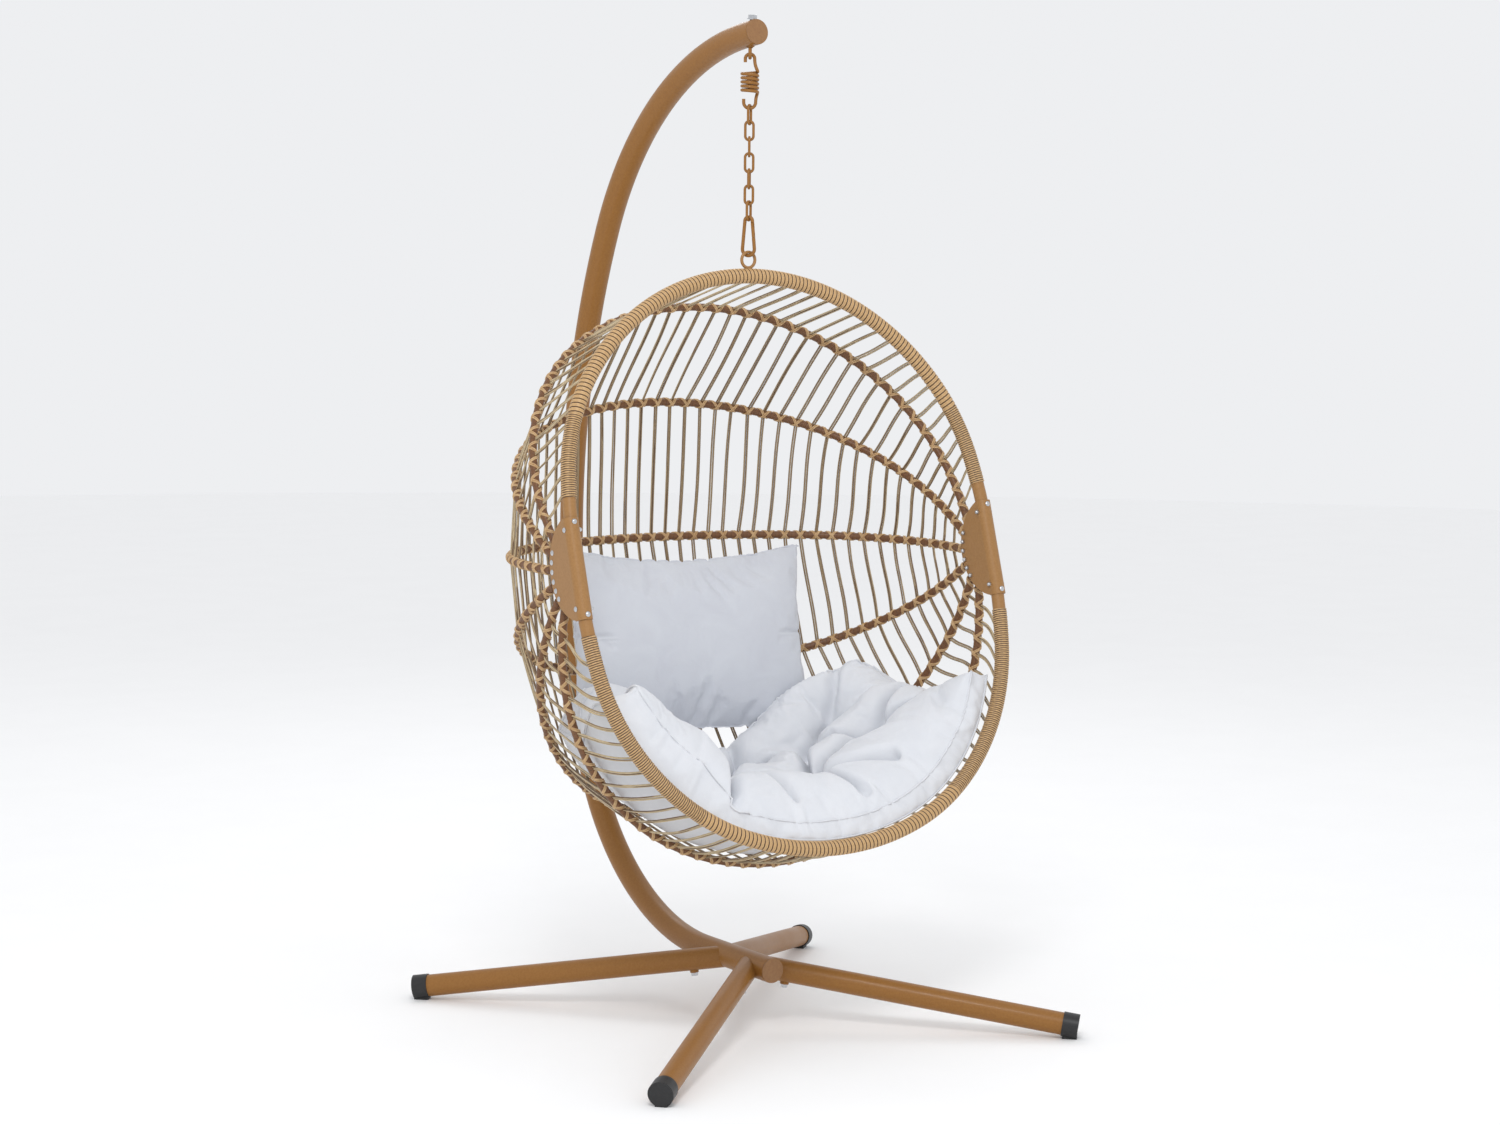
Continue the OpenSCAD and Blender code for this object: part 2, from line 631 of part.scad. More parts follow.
module bracket(side) {
    color("#a5784b") on_bracket(side) difference() {
        union() {
            rotate([90, 0, 0]) cylinder(h = plate_len, d = rim_d + 2 * plate, center = true);
            for (s = [-1, 1]) translate([s * (rim_d / 2 + plate / 2), 0, 0]) rotate([0, 90, 0])
                linear_extrude(plate, center = true) flange();
        }
        rotate([90, 0, 0]) cylinder(h = plate_len + 2, d = rim_d, center = true);
        translate([0, 0, -60]) cube([rim_d, plate_len + 2, 120], center = true);
        for (i = [0:5]) translate([0, bolt_circle * sin((2.5 - i) * bolt_step),
            plate_fore - bolt_circle * cos((2.5 - i) * bolt_step)])
            rotate([0, 90, 0]) cylinder(h = 60, d = rib_bolt_d + 0.4, center = true);
        for (s = [-1, 1]) translate([0, s * tip_bolt, 0]) cylinder(h = 60, d = rib_bolt_d + 0.4, center = true);
        for (s = [-1, 1]) translate([0, s * side_bolt, 0]) rotate([0, 90, 0])
            cylinder(h = 60, d = rib_bolt_d + 0.4, center = true);
    }
}

// Side plate outline: X backwards, Y up the rim.
module flange() {
    intersection() {
        translate([-plate_fore, 0]) circle(r = plate_r, $fn = 96);
        translate([0, -plate_len / 2]) square([plate_r, plate_len]);
    }
}

// ---- fasteners of the basket --------------------------------------------

module bracket_bolts() {
    color("#c9ccd0") for (side = [-1, 1]) on_bracket(side) for (s = [-1, 1]) {
        translate([0, s * tip_bolt, 0]) screw(rim_d / 2 + plate, -17);
        translate([0, s * side_bolt, 0]) rotate([0, side * 90, 0]) screw(rim_d / 2 + plate, -19.5);
    }
}

module bracket_nuts() {
    color("#c9ccd0") for (side = [-1, 1]) on_bracket(side) for (s = [-1, 1]) {
        translate([0, s * tip_bolt, -rim_d / 2]) rotate([180, 0, 0]) dome_nut();
        translate([0, s * side_bolt, 0]) rotate([0, side * 90, 0]) translate([0, 0, -rim_d / 2 - plate]) rotate([180, 0, 0])
            dome_nut();
    }
}

module rib_bolts() {
    color("#c9ccd0") for (side = [-1, 1]) for (i = [0:5]) translate([side * rim_half, rib_at[i][0], rib_at[i][1]])
        rotate([0, side * 90, 0]) screw(rim_d / 2 + plate, -19.5);
}

module rib_nuts() {
    color("#c9ccd0") for (side = [-1, 1]) for (i = [0:5]) translate([side * rim_half, rib_at[i][0], rib_at[i][1]])
        rotate([0, side * 90, 0]) translate([0, 0, -rim_d / 2 - plate]) rotate([180, 0, 0]) dome_nut();
}

// Low dome-headed screw whose head sits on the plane z = top.
module screw(top, tip) {
    translate([0, 0, tip]) cylinder(h = top - tip, d = rib_bolt_d);
    translate([0, 0, top]) intersection() {
        cylinder(h = 3, d = 10);
        translate([0, 0, -3.2]) sphere(d = 12.4);
    }
}

module dome_nut() {
    difference() {
        union() {
            cylinder(h = 3, d = 8.8, $fn = 6);
            translate([0, 0, 3]) intersection() {
                sphere(d = 7.4);
                translate([0, 0, 2]) cube([10, 10, 4], center = true);
            }
        }
        translate([0, 0, -1]) cylinder(h = 5.5, d = rib_bolt_d);
    }
}

// ---- ribs --------------------------------------------------------------

module on_rib(i) {
    translate([0, rib_at[i][0], rib_at[i][1]]) rotate([rib_slope[i], 0, 0]) translate([rim_half, 0, 0])
        rotate([0, 0, -flare]) children();
}

function rib_steps(i) =
    let (p = rib_pair(i))
    [[rib_r1, rib_a0], [rib_r1, rib_s1 - rib_a0], [p[0], rib_s2], [p[1], 2 * (90 + flare - rib_s1 - rib_s2)],
        [p[0], rib_s2], [rib_r1, rib_s1 - rib_a0], [rib_r1, rib_a0]];

module rib(i) {
    color("#7b4a24") difference() {
        union() {
            on_rib(i) bent_run(rib_steps(i), 0, 7, rod_d);
            bush_pair(i, rim_d - 0.4, bush_d);
        }
        bush_pair(i, rim_d + 4, rib_bolt_d + 0.4);
    }
}

module bush_pair(i, h, d) {
    for (side = [-1, 1]) translate([side * rim_half, rib_at[i][0], rib_at[i][1]]) rotate([0, 90, 0])
        cylinder(h = h, d = d, center = true);
}

module rib_wrap(i) {
    color("#96602f") on_rib(i) bent_run(rib_steps(i), 1, 6, braid_d, rod_d);
}

// ---- strands -----------------------------------------------------------

module strand(p, q, a, b) {
    v = q - p;
    l = norm(v);
    translate(p) rotate([0, acos(v[2] / l), atan2(v[1], v[0])]) translate([0, 0, a])
        cylinder(h = l - a - b, d = strand_d, $fn = 16);
}

// Distance from a bow's centre line at which a strand pair that leaves it along v starts:
// its slanting end is sunk into the bow's rope by the same depth at any lean.
function end_gap(k, f, v) =
    let (t = unit(arch_point(k, f + 0.002) - arch_point(k, f - 0.002)))
    let (c = abs(v * t) / norm(v))
    (rope_r[k] - sink + strand_d / 2 * c) / sqrt(1 - c * c);

module weave(k) {
    step = 2 * strand_reach / (strand_count - 1);
    color("#c8b996") for (j = [0:strand_count - 1]) {
        f = -strand_reach + j * step;
        s = step * (1 - f * f);
        from = f * (k == 0 ? rim_share : 1) + strand_shift[k] * s;
        to = f * (k == 6 ? rim_share : 1) + strand_shift[k + 1] * s;
        p = arch_point(k, from);
        q = arch_point(k + 1, to);
        strand(p, q, end_gap(k, from, q - p), end_gap(k + 1, to, p - q));
    }
}

// ---- cushions ----------------------------------------------------------

// Place of the seat cushion's sheet at a ring and a side, as [bay, share].
function seat_place(rho, a) =
    let (c = sign(cos(a)) * pow(abs(cos(a)), 0.45))
    let (s = sign(sin(a)) * pow(abs(sin(a)), 0.45))
    let (back = 1.42 - 0.42 * exp(-pow(s / 0.42, 2)))
    [seat_k + rho * c * (c > 0 ? 1.1 : back), rho * s * (0.64 + (c > 0 ? 0.2 * c * c : 0)) + 0.02];
function seat_dent(p) = max([for (q = tufts) exp(-(pow((p[0] - q[0]) / 0.3, 2) + pow((p[1] - q[1]) / 0.14, 2)))]);
function seat_stand(p) = 17 + 78 * pow(min(max((5.2 - p[0]) / 0.8, 0), 1), 2) * (1 - 0.35 * p[1])
    * (0.3 + 0.7 * min(abs(p[1]) / 0.4, 1));
function seat_left(p) = min(max((-0.14 - p[1]) / 0.18, 0), 1) * min(max((p[0] - 4.8) / 1.2, 0), 1);
function seat_full(rho, p) = seat_band + seat_fold * seat_left(p)
    + seat_t * pow(1 - pow(rho, 3.4), 0.6) * (1 - 0.5 * seat_dent(p)) * (1 - 0.5 * seat_left(p))
    * (1 - 0.35 * min(max((5 - p[0]) / 0.5, 0), 1));
function seat_low(rho, a) =
    let (p = seat_place(rho, a))
    let (q = skin_point(p[0], p[1]))
    q + unit(focus - q) * seat_stand(p);
function seat_high(rho, a) =
    let (p = seat_place(rho, a))
    let (q = skin_point(p[0], p[1]))
    q + unit(focus - q) * (seat_stand(p) + seat_full(rho, p));

module seat_cushion() {
    n = seat_rings;
    m = seat_sides;
    low = [for (i = [1:n]) for (j = [0:m - 1]) seat_low(i / n, j * 360 / m)];
    high = [for (i = [1:n]) for (j = [0:m - 1]) seat_high(i / n, j * 360 / m)];
    pts = concat([seat_low(0, 0), seat_high(0, 0)], low, high);
    b = 2;
    t = 2 + n * m;
    hub = [for (j = [0:m - 1]) each [[0, b + j, b + (j + 1) % m], [1, t + (j + 1) % m, t + j]]];
    belt = [for (i = [0:n - 2]) for (j = [0:m - 1]) each [
        [b + i * m + j, b + i * m + m + j, b + i * m + m + (j + 1) % m],
        [b + i * m + j, b + i * m + m + (j + 1) % m, b + i * m + (j + 1) % m],
        [t + i * m + j, t + i * m + m + (j + 1) % m, t + i * m + m + j],
        [t + i * m + j, t + i * m + (j + 1) % m, t + i * m + m + (j + 1) % m]]];
    edge = [for (j = [0:m - 1]) each [
        [b + (n - 1) * m + j, t + (n - 1) * m + j, t + (n - 1) * m + (j + 1) % m],
        [b + (n - 1) * m + j, t + (n - 1) * m + (j + 1) % m, b + (n - 1) * m + (j + 1) % m]]];
    color("#eef1f7") polyhedron(pts, concat(hub, belt, edge));
}

function pillow_point(i, j, up) =
    let (u = 2 * i / pillow_n - 1)
    let (v = 2 * j / pillow_n - 1)
    let (c = pow(max((1 - pow(abs(u), 2.4)) * (1 - pow(abs(v), 2.4)), 0), 0.5)
        * (up > 0 ? 1 - 0.75 * pow(max(-v, 0), 1.3) * abs(u) : 1))
    [pillow_w / 2 * u * (1 - 0.07 * (1 - v * v)), pillow_h / 2 * v * (1 - 0.06 * (1 - u * u)),
        up * pillow_t / 2 * c + pillow_bow * u * u];

module back_pillow() {
    n = pillow_n;
    row = n + 1;
    pts = concat([for (i = [0:n]) for (j = [0:n]) pillow_point(i, j, 1)],
        [for (i = [1:n - 1]) for (j = [1:n - 1]) pillow_point(i, j, -1)]);
    top = [for (i = [0:n - 1]) for (j = [0:n - 1]) each corner_quad(i, j, i * row + j, i * row + row + j,
        i * row + row + j + 1, i * row + j + 1)];
    under = [for (i = [0:n - 1]) for (j = [0:n - 1]) each corner_quad(i, j, back_id(i, j), back_id(i, j + 1),
        back_id(i + 1, j + 1), back_id(i + 1, j))];
    color("#e6eaf2") translate([pillow_x, hang_y + pillow_back, pillow_z]) rotate([90 - pillow_lean, 0, 0])
        rotate([0, 0, pillow_roll]) polyhedron(pts, concat(top, under));
}

// Number of a point on the pillow's back; the seam is shared with the front.
function back_id(i, j) = (i == 0 || j == 0 || i == pillow_n || j == pillow_n) ? i * (pillow_n + 1) + j
    : (pillow_n + 1) * (pillow_n + 1) + (i - 1) * (pillow_n - 1) + j - 1;
function quad(a, b, c, d) = [[a, c, b], [a, d, c]];
// The same, cut along the line that points at the pillow's nearest corner.
function corner_quad(i, j, a, b, c, d) = (2 * i < pillow_n) == (2 * j < pillow_n) ? quad(a, b, c, d)
    : quad(b, c, d, a);

pole_lower();
pole_upper();
pole_plug_low();
pole_plug_top();
leg(1);  // leg_front_left
leg(0);  // leg_front_right
leg(3);  // leg_rear_left
leg(2);  // leg_rear_right
leg_cap(1);  // cap_front_left
leg_cap(0);  // cap_front_right
leg_cap(3);  // cap_rear_left
leg_cap(2);  // cap_rear_right
stand_screws();
eye_bolt();
eye_nut();
spring();
chain_link(1);  // chain_link_1
chain_link(2);  // chain_link_2
chain_link(3);  // chain_link_3
chain_link(4);  // chain_link_4
chain_link(5);  // chain_link_5
chain_link(6);  // chain_link_6
chain_link(7);  // chain_link_7
snap_hook();
snap_gate();
gate_pin();
hanging_ring();
rim_upper();
rim_lower();
rim_wrap_upper();
rim_wrap_lower();
bracket(-1);  // bracket_left
bracket(1);  // bracket_right
bracket_bolts();
bracket_nuts();
rib_bolts();
rib_nuts();
rib(0);  // rib_a
rib(1);  // rib_b
rib(2);  // rib_c
rib(3);  // rib_d
rib(4);  // rib_e
rib(5);  // rib_f
rib_wrap(0);  // rib_wrap_a
rib_wrap(1);  // rib_wrap_b
rib_wrap(2);  // rib_wrap_c
rib_wrap(3);  // rib_wrap_d
rib_wrap(4);  // rib_wrap_e
rib_wrap(5);  // rib_wrap_f
weave(0);  // weave_1
weave(1);  // weave_2
weave(2);  // weave_3
weave(3);  // weave_4
weave(4);  // weave_5
weave(5);  // weave_6
weave(6);  // weave_7
seat_cushion();
back_pillow();
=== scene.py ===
import math

import bmesh
import bpy
import numpy as np
from mathutils import Matrix, Vector


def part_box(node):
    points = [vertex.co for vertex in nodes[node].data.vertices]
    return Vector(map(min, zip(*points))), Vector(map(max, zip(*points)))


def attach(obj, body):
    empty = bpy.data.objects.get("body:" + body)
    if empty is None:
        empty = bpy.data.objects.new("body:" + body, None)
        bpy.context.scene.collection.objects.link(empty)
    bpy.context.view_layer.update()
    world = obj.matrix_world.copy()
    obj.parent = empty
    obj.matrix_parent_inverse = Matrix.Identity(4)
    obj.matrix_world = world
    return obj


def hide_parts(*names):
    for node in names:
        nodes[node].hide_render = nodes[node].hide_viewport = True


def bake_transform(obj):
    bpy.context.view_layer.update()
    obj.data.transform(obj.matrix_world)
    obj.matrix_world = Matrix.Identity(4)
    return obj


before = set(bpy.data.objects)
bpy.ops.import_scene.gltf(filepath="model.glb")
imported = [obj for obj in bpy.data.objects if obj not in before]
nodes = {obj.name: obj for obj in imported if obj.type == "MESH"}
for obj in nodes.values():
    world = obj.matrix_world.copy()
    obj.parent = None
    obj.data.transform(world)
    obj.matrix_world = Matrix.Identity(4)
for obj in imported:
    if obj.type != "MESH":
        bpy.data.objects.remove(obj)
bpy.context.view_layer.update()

# ---------------------------------------------------------------- stand
# A bent steel pole in two halves and four straight legs that plug into its sockets, all
# in satin brown enamel. The ends have brown plastic plugs and the feet black caps.
def shade_group(name, inputs, outputs, build):
    """A shader node group with named sockets; build(tree, in_node, out_node) fills it."""
    g = bpy.data.node_groups.new(name, "ShaderNodeTree")
    for n, kind, value in inputs:
        s = g.interface.new_socket(name=n, in_out="INPUT", socket_type=kind)
        if value is not None:
            s.default_value = value
    for n, kind in outputs:
        g.interface.new_socket(name=n, in_out="OUTPUT", socket_type=kind)
    gi, go = g.nodes.new("NodeGroupInput"), g.nodes.new("NodeGroupOutput")
    build(g, gi, go)
    return g


def node(tree, kind, links=(), **values):
    """A shader node; links are pairs of (input name, socket), values its inputs or settings."""
    n = tree.nodes.new(kind)
    for k, v in values.items():
        if k in n.inputs:
            n.inputs[k].default_value = v
        else:
            setattr(n, k, v)
    for k, socket in links:
        tree.links.new(socket, n.inputs[k])
    return n


def spread(tree, value, low, high, to_low=0.0, to_high=1.0):
    """A value stretched from low..high to to_low..to_high, and held there."""
    n = node(tree, "ShaderNodeMapRange", [("Value", value)])
    for k, v in (("From Min", low), ("From Max", high), ("To Min", to_low), ("To Max", to_high)):
        n.inputs[k].default_value = v
    return n.outputs["Result"]


def blend(tree, mask, a, b):
    """Two colours, each a socket or a value, mixed by a mask."""
    n = node(tree, "ShaderNodeMix", data_type="RGBA")
    tree.links.new(mask, n.inputs[0])
    for i, v in ((6, a), (7, b)):
        if isinstance(v, tuple):
            n.inputs[i].default_value = v + (1,)
        else:
            tree.links.new(v, n.inputs[i])
    return n.outputs[2]


def build_coat(t, gi, go):
    """Slightly uneven paint or metal: two tones, an orange-peel relief and uneven gloss."""
    co = node(t, "ShaderNodeTexCoord")
    noise = node(t, "ShaderNodeTexNoise", [("Vector", co.outputs["Object"]), ("Scale", gi.outputs["Scale"])],
                 Detail=4.0, Roughness=0.6)
    broad = node(t, "ShaderNodeTexNoise", [("Vector", co.outputs["Object"])], Scale=7.0, Detail=3.0)
    mask = spread(t, noise.outputs["Fac"], 0.35, 0.65)
    bump = node(t, "ShaderNodeBump", [("Strength", gi.outputs["Relief"]), ("Height", noise.outputs["Fac"])],
                Distance=0.0004)
    gloss = node(t, "ShaderNodeMix", data_type="FLOAT")
    gloss_mask = spread(t, broad.outputs["Fac"], 0.3, 0.7)
    for k, s in ((0, gloss_mask), (2, gi.outputs["Smooth"]), (3, gi.outputs["Rough"])):
        t.links.new(s, gloss.inputs[k])
    t.links.new(blend(t, mask, gi.outputs["Light"], gi.outputs["Dark"]), go.inputs["Color"])
    t.links.new(gloss.outputs[0], go.inputs["Roughness"])
    t.links.new(bump.outputs["Normal"], go.inputs["Normal"])


coat_group = shade_group("Coat", [("Light", "NodeSocketColor", None), ("Dark", "NodeSocketColor", None),
                                  ("Scale", "NodeSocketFloat", 30.0), ("Relief", "NodeSocketFloat", 0.2),
                                  ("Smooth", "NodeSocketFloat", 0.3), ("Rough", "NodeSocketFloat", 0.5)],
                         [("Color", "NodeSocketColor"), ("Roughness", "NodeSocketFloat"),
                          ("Normal", "NodeSocketVector")], build_coat)


def plain_surface(name, metal=0.0, coat=0.0, shine=0.5):
    """An empty Principled material with its constants set."""
    m = bpy.data.materials.new(name)
    m.use_nodes = True
    p = m.node_tree.nodes["Principled BSDF"]
    p.inputs["Metallic"].default_value = metal
    p.inputs["Coat Weight"].default_value = coat
    p.inputs["Specular IOR Level"].default_value = shine
    return m, m.node_tree, p


def coated(name, light, dark, smooth, rough, scale, relief=0.15, metal=0.0, coat=0.0, shine=0.5):
    """Paint, plastic or metal in two close tones, with its gloss between smooth and rough."""
    m, t, p = plain_surface(name, metal, coat, shine)
    g = node(t, "ShaderNodeGroup", node_tree=coat_group)
    for k, v in (("Light", light + (1,)), ("Dark", dark + (1,)), ("Scale", scale), ("Relief", relief),
                 ("Smooth", smooth), ("Rough", rough)):
        g.inputs[k].default_value = v
    for out, to in (("Color", "Base Color"), ("Roughness", "Roughness"), ("Normal", "Normal")):
        t.links.new(g.outputs[out], p.inputs[to])
    return m


def finish(names, material):
    """Gives one material to each of the named solids."""
    for n in names.split():
        nodes[n].data.materials.clear()
        nodes[n].data.materials.append(material)


enamel = coated("brown enamel", (0.30, 0.135, 0.03), (0.265, 0.115, 0.024), smooth=0.34, rough=0.46,
                scale=260, relief=0.12, coat=0.05, shine=0.3)
brown_plastic = coated("brown plastic", (0.29, 0.145, 0.055), (0.25, 0.12, 0.045), smooth=0.42, rough=0.55,
                       scale=200)
black_plastic = coated("black plastic", (0.016, 0.016, 0.017), (0.010, 0.010, 0.011), smooth=0.4, rough=0.5,
                       scale=220)
zinc = coated("zinc", (0.62, 0.63, 0.65), (0.50, 0.51, 0.53), smooth=0.24, rough=0.36, scale=150, metal=1.0)
finish("pole_lower pole_upper leg_front_left leg_front_right leg_rear_left leg_rear_right", enamel)
finish("pole_plug_low pole_plug_top", brown_plastic)
finish("cap_front_left cap_front_right cap_rear_left cap_rear_right", black_plastic)
finish("stand_screws", zinc)

# ---------------------------------------------------------------- hanger
# A steel eye bolt through the pole's end, a coil spring with open hooks, seven welded chain
# links and a snap hook, in the pole's brown enamel; only the nuts are bare zinc. The spring
# is one wire.
ring_low, ring_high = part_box("hanging_ring")
AXIS_Y = (ring_low[1] + ring_high[1]) / 2 * 1000

# Sizes are in mm, and a pair goes from the upper end to the lower one. A lead is how far the
# wire runs on from a hook or from the coil before it bends over to the other.
SPRING_WIRE_R = 3.15
HOOK_R = (8.8, 11.3)
HOOK_Z = (1839.6, 1758.5)
HOOK_LIP = 6.4
COIL_R = 14.8
COIL_Z = (1815.5, 1777.5)
COIL_TURNS = 5
COIL_STEPS = 24
HOOK_LEAD = (15, 10.5)
COIL_LEAD = ((-11, 2.2), (9, -1.5))
SPRING_YAW = -33

rad = math.radians


def new_piece(name, me):
    me.polygons.foreach_set("use_smooth", [True] * len(me.polygons))
    ob = bpy.data.objects.new(name, me)
    bpy.context.scene.collection.objects.link(ob)
    return ob


def cords(name, paths, radius, closed=False, fine=1):
    """Round wires or cords along paths in mm: a bevelled curve, turned into one mesh."""
    curve = bpy.data.curves.new(name, "CURVE")
    curve.dimensions = "3D"
    curve.bevel_depth = radius / 1000
    curve.bevel_resolution = fine
    curve.use_fill_caps = not closed
    for p in paths:
        line = curve.splines.new("POLY")
        line.points.add(len(p) - 1)
        line.points.foreach_set("co", np.c_[np.asarray(p) / 1000, np.ones(len(p))].ravel())
        line.use_cyclic_u = closed
    drawn = bpy.data.objects.new(name + "_line", curve)
    me = bpy.data.meshes.new_from_object(drawn)
    bpy.data.objects.remove(drawn)
    bpy.data.curves.remove(curve)
    me.name = name
    me.attributes.new("unshaded", "FLOAT", "POINT").data.foreach_set("value", np.ones(len(me.vertices)))
    return new_piece(name, me)


def eased(a, b, c, d):
    """Places on a smooth curve from a to d that leaves towards b and comes in from c."""
    t = np.linspace(0, 1, 9)[1:-1, None]
    a, b, c, d = (np.array(v) for v in (a, b, c, d))
    return a * (1 - t) ** 3 + 3 * b * t * (1 - t) ** 2 + 3 * c * t * t * (1 - t) + d * t ** 3


def hook(r, z, first, last):
    """Places round a half circle, from one angle to another."""
    a = np.radians(np.linspace(first, last, 17))
    return np.c_[r * np.cos(a), 0 * a, z + r * np.sin(a)]


turns = np.linspace(0, 2 * math.pi * COIL_TURNS, COIL_TURNS * COIL_STEPS + 1)
coil = np.c_[COIL_R * np.cos(turns), COIL_R * np.sin(turns), np.linspace(*COIL_Z, len(turns))]
(r_up, r_low), (z_up, z_low), (top, foot) = HOOK_R, HOOK_Z, COIL_Z
(y_up, rise_up), (y_low, rise_low) = COIL_LEAD
wire = np.concatenate([
    [(-r_up, 0, z_up - HOOK_LIP)], hook(r_up, z_up, 180, 0),
    eased((r_up, 0, z_up), (r_up, 0, z_up - HOOK_LEAD[0]), (COIL_R, y_up, top + rise_up), (COIL_R, 0, top)),
    coil,
    eased((COIL_R, 0, foot), (COIL_R, y_low, foot + rise_low), (r_low, 0, z_low + HOOK_LEAD[1]),
          (r_low, 0, z_low)),
    hook(r_low, z_low, 0, -180), [(-r_low, 0, z_low + HOOK_LIP)]])
yaw = np.array(Matrix.Rotation(rad(SPRING_YAW), 3, "Z"))
spring = cords("spring_wire", [wire @ yaw.T + (0, AXIS_Y, 0)], SPRING_WIRE_R, fine=3)
spring.data.materials.append(enamel)
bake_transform(spring)
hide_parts("spring")
finish("eye_bolt chain_link_1 chain_link_2 chain_link_3 chain_link_4 chain_link_5 chain_link_6 chain_link_7 "
       "snap_hook snap_gate gate_pin", enamel)
finish("eye_nut", zinc)

# ---------------------------------------------------------------- rim, brackets and rods
# Two bent steel tubes make the rim, joined by a sheet bracket at each side, and six thin
# rods fan out from the brackets. Each bow is three radii from its middle outwards, in a
# plane through its root. Sizes are in mm.
RIM_TOP_Z = 1433
RIM_TILT = 17.1
RIM_HALF = 463
RIM_UP = 547
RIM_LOW = 545
RIM_RUN_UP = 38
RIM_RUN_LOW = 50
RIM_R1 = 900
RIM_S1 = 9
UP_S2 = 24
LOW_S2 = 61
BRACKET_LEN = 186
BARE_UP = 37
BARE_LOW = 30
BOLT_CIRCLE = 88.5
BOLT_STEP = 11.46
BOLT_FORE = 23.5
FLARE = 9.2
RIB_R1 = 534
RIB_S1 = 11.3
RIB_S2 = 59.5
RIB_BARE = 22
RIB_DEPTH = [527, 498, 435, 468, 560, 527]
RIB_SLOPE = [56, 32, 1.5, -31, -61.5, -89]


def end_radii(half, depth, out, run, r1, s1, s2):
    """The two middle radii of a bow that starts at the side and ends level at depth."""
    h0, h1, h2 = rad(out), rad(out - s1), rad(out - s1 - s2)
    x = half + run * math.sin(h0) + r1 * (math.cos(h1) - math.cos(h0))
    d = run * math.cos(h0) + r1 * (math.sin(h0) - math.sin(h1))
    m = np.array([[math.cos(h2) - math.cos(h1), -math.cos(h2)],
                  [math.sin(h1) - math.sin(h2), math.sin(h2) + 1]])
    return np.linalg.solve(m, [-x, depth - d])


def bow(pair, s2, r1, s1, out, depth, slope, root):
    """One bow: radii and sweeps from its middle outwards, its depth, its plane and its root."""
    return {"r": (pair[1], pair[0], r1), "s": (90 + out - s1 - s2, s2, s1), "depth": depth,
            "slope": slope, "root": root}


side_y = AXIS_Y - RIM_UP * math.sin(rad(RIM_TILT))
side_z = RIM_TOP_Z - RIM_UP * math.cos(rad(RIM_TILT))


def bolt_place(a):
    """Where a rod is bolted to the bracket, at an angle round the bracket's bolt circle."""
    back = BOLT_CIRCLE * math.cos(rad(a)) - BOLT_FORE
    up = BOLT_CIRCLE * math.sin(rad(a))
    c, s = math.cos(rad(RIM_TILT)), math.sin(rad(RIM_TILT))
    return side_y + back * c + up * s, side_z - back * s + up * c


upper_pair = end_radii(RIM_HALF, RIM_UP, 0, RIM_RUN_UP, RIM_R1, RIM_S1, UP_S2)
lower_pair = end_radii(RIM_HALF, RIM_LOW, 0, RIM_RUN_LOW, RIM_R1, RIM_S1, LOW_S2)
bows = [bow(upper_pair, UP_S2, RIM_R1, RIM_S1, 0, RIM_UP, 90 - RIM_TILT, (side_y, side_z))]
for i in range(6):
    rib_pair = end_radii(RIM_HALF, RIB_DEPTH[i], FLARE, 0, RIB_R1, RIB_S1, RIB_S2)
    bows.append(bow(rib_pair, RIB_S2, RIB_R1, RIB_S1, FLARE, RIB_DEPTH[i], RIB_SLOPE[i],
                    bolt_place((2.5 - i) * BOLT_STEP)))
bows.append(bow(lower_pair, LOW_S2, RIM_R1, RIM_S1, 0, RIM_LOW, -90 - RIM_TILT, (side_y, side_z)))


def bow_length(b):
    """Length in mm of half a bow."""
    return sum(r * rad(s) for r, s in zip(b["r"], b["s"]))


def bow_point(b, s):
    """Places in mm on the bow's centre line at distances s from its middle."""
    s = np.asarray(s, float)
    t = np.abs(s)
    (r3, r2, r1), (s3, s2, s1) = b["r"], [rad(v) for v in b["s"]]
    a3 = np.minimum(t, r3 * s3) / r3
    a2 = a3 + np.clip(t - r3 * s3, 0, r2 * s2) / r2
    a1 = a2 + np.clip(t - r3 * s3 - r2 * s2, 0, None) / r1
    x = r3 * np.sin(a3) + r2 * (np.sin(a2) - np.sin(a3)) + r1 * (np.sin(a1) - np.sin(a2))
    d = b["depth"] - r3 * (1 - np.cos(a3)) - r2 * (np.cos(a3) - np.cos(a2)) - r1 * (np.cos(a2) - np.cos(a1))
    c, k = math.cos(rad(b["slope"])), math.sin(rad(b["slope"]))
    return np.stack([np.sign(s) * x, b["root"][0] + d * c, b["root"][1] + d * k], -1)


def skin_point(k, f):
    """Place in mm on the strands between bows; k counts the bows, f runs from -1 to 1."""
    k, f = np.broadcast_arrays(np.asarray(k, float), np.asarray(f, float))
    out = np.zeros(k.shape + (3,))
    for i in range(7):
        m = (np.minimum(np.floor(k), 6) == i)
        if m.any():
            w = (k[m] - i)[..., None]
            out[m] = bow_point(bows[i], f[m] * bow_length(bows[i])) * (1 - w) \
                + bow_point(bows[i + 1], f[m] * bow_length(bows[i + 1])) * w
    return out


# The ring, rim and brackets take the stand's brown enamel painted a tone lighter, as painted light where the
# upper rim catches more of the lamp.
lit_rim_enamel = coated("lit rim enamel", (0.35, 0.18, 0.06), (0.31, 0.155, 0.048), smooth=0.36, rough=0.48,
                    scale=260, relief=0.12, coat=0.05, shine=0.4)
rod_enamel = coated("rod enamel", (0.20, 0.095, 0.035), (0.24, 0.12, 0.045), smooth=0.36, rough=0.46,
                    scale=200)
finish("hanging_ring rim_upper rim_lower bracket_left bracket_right", lit_rim_enamel)
finish("rib_a rib_b rib_c rib_d rib_e rib_f", rod_enamel)
finish("bracket_bolts bracket_nuts rib_bolts rib_nuts", zinc)
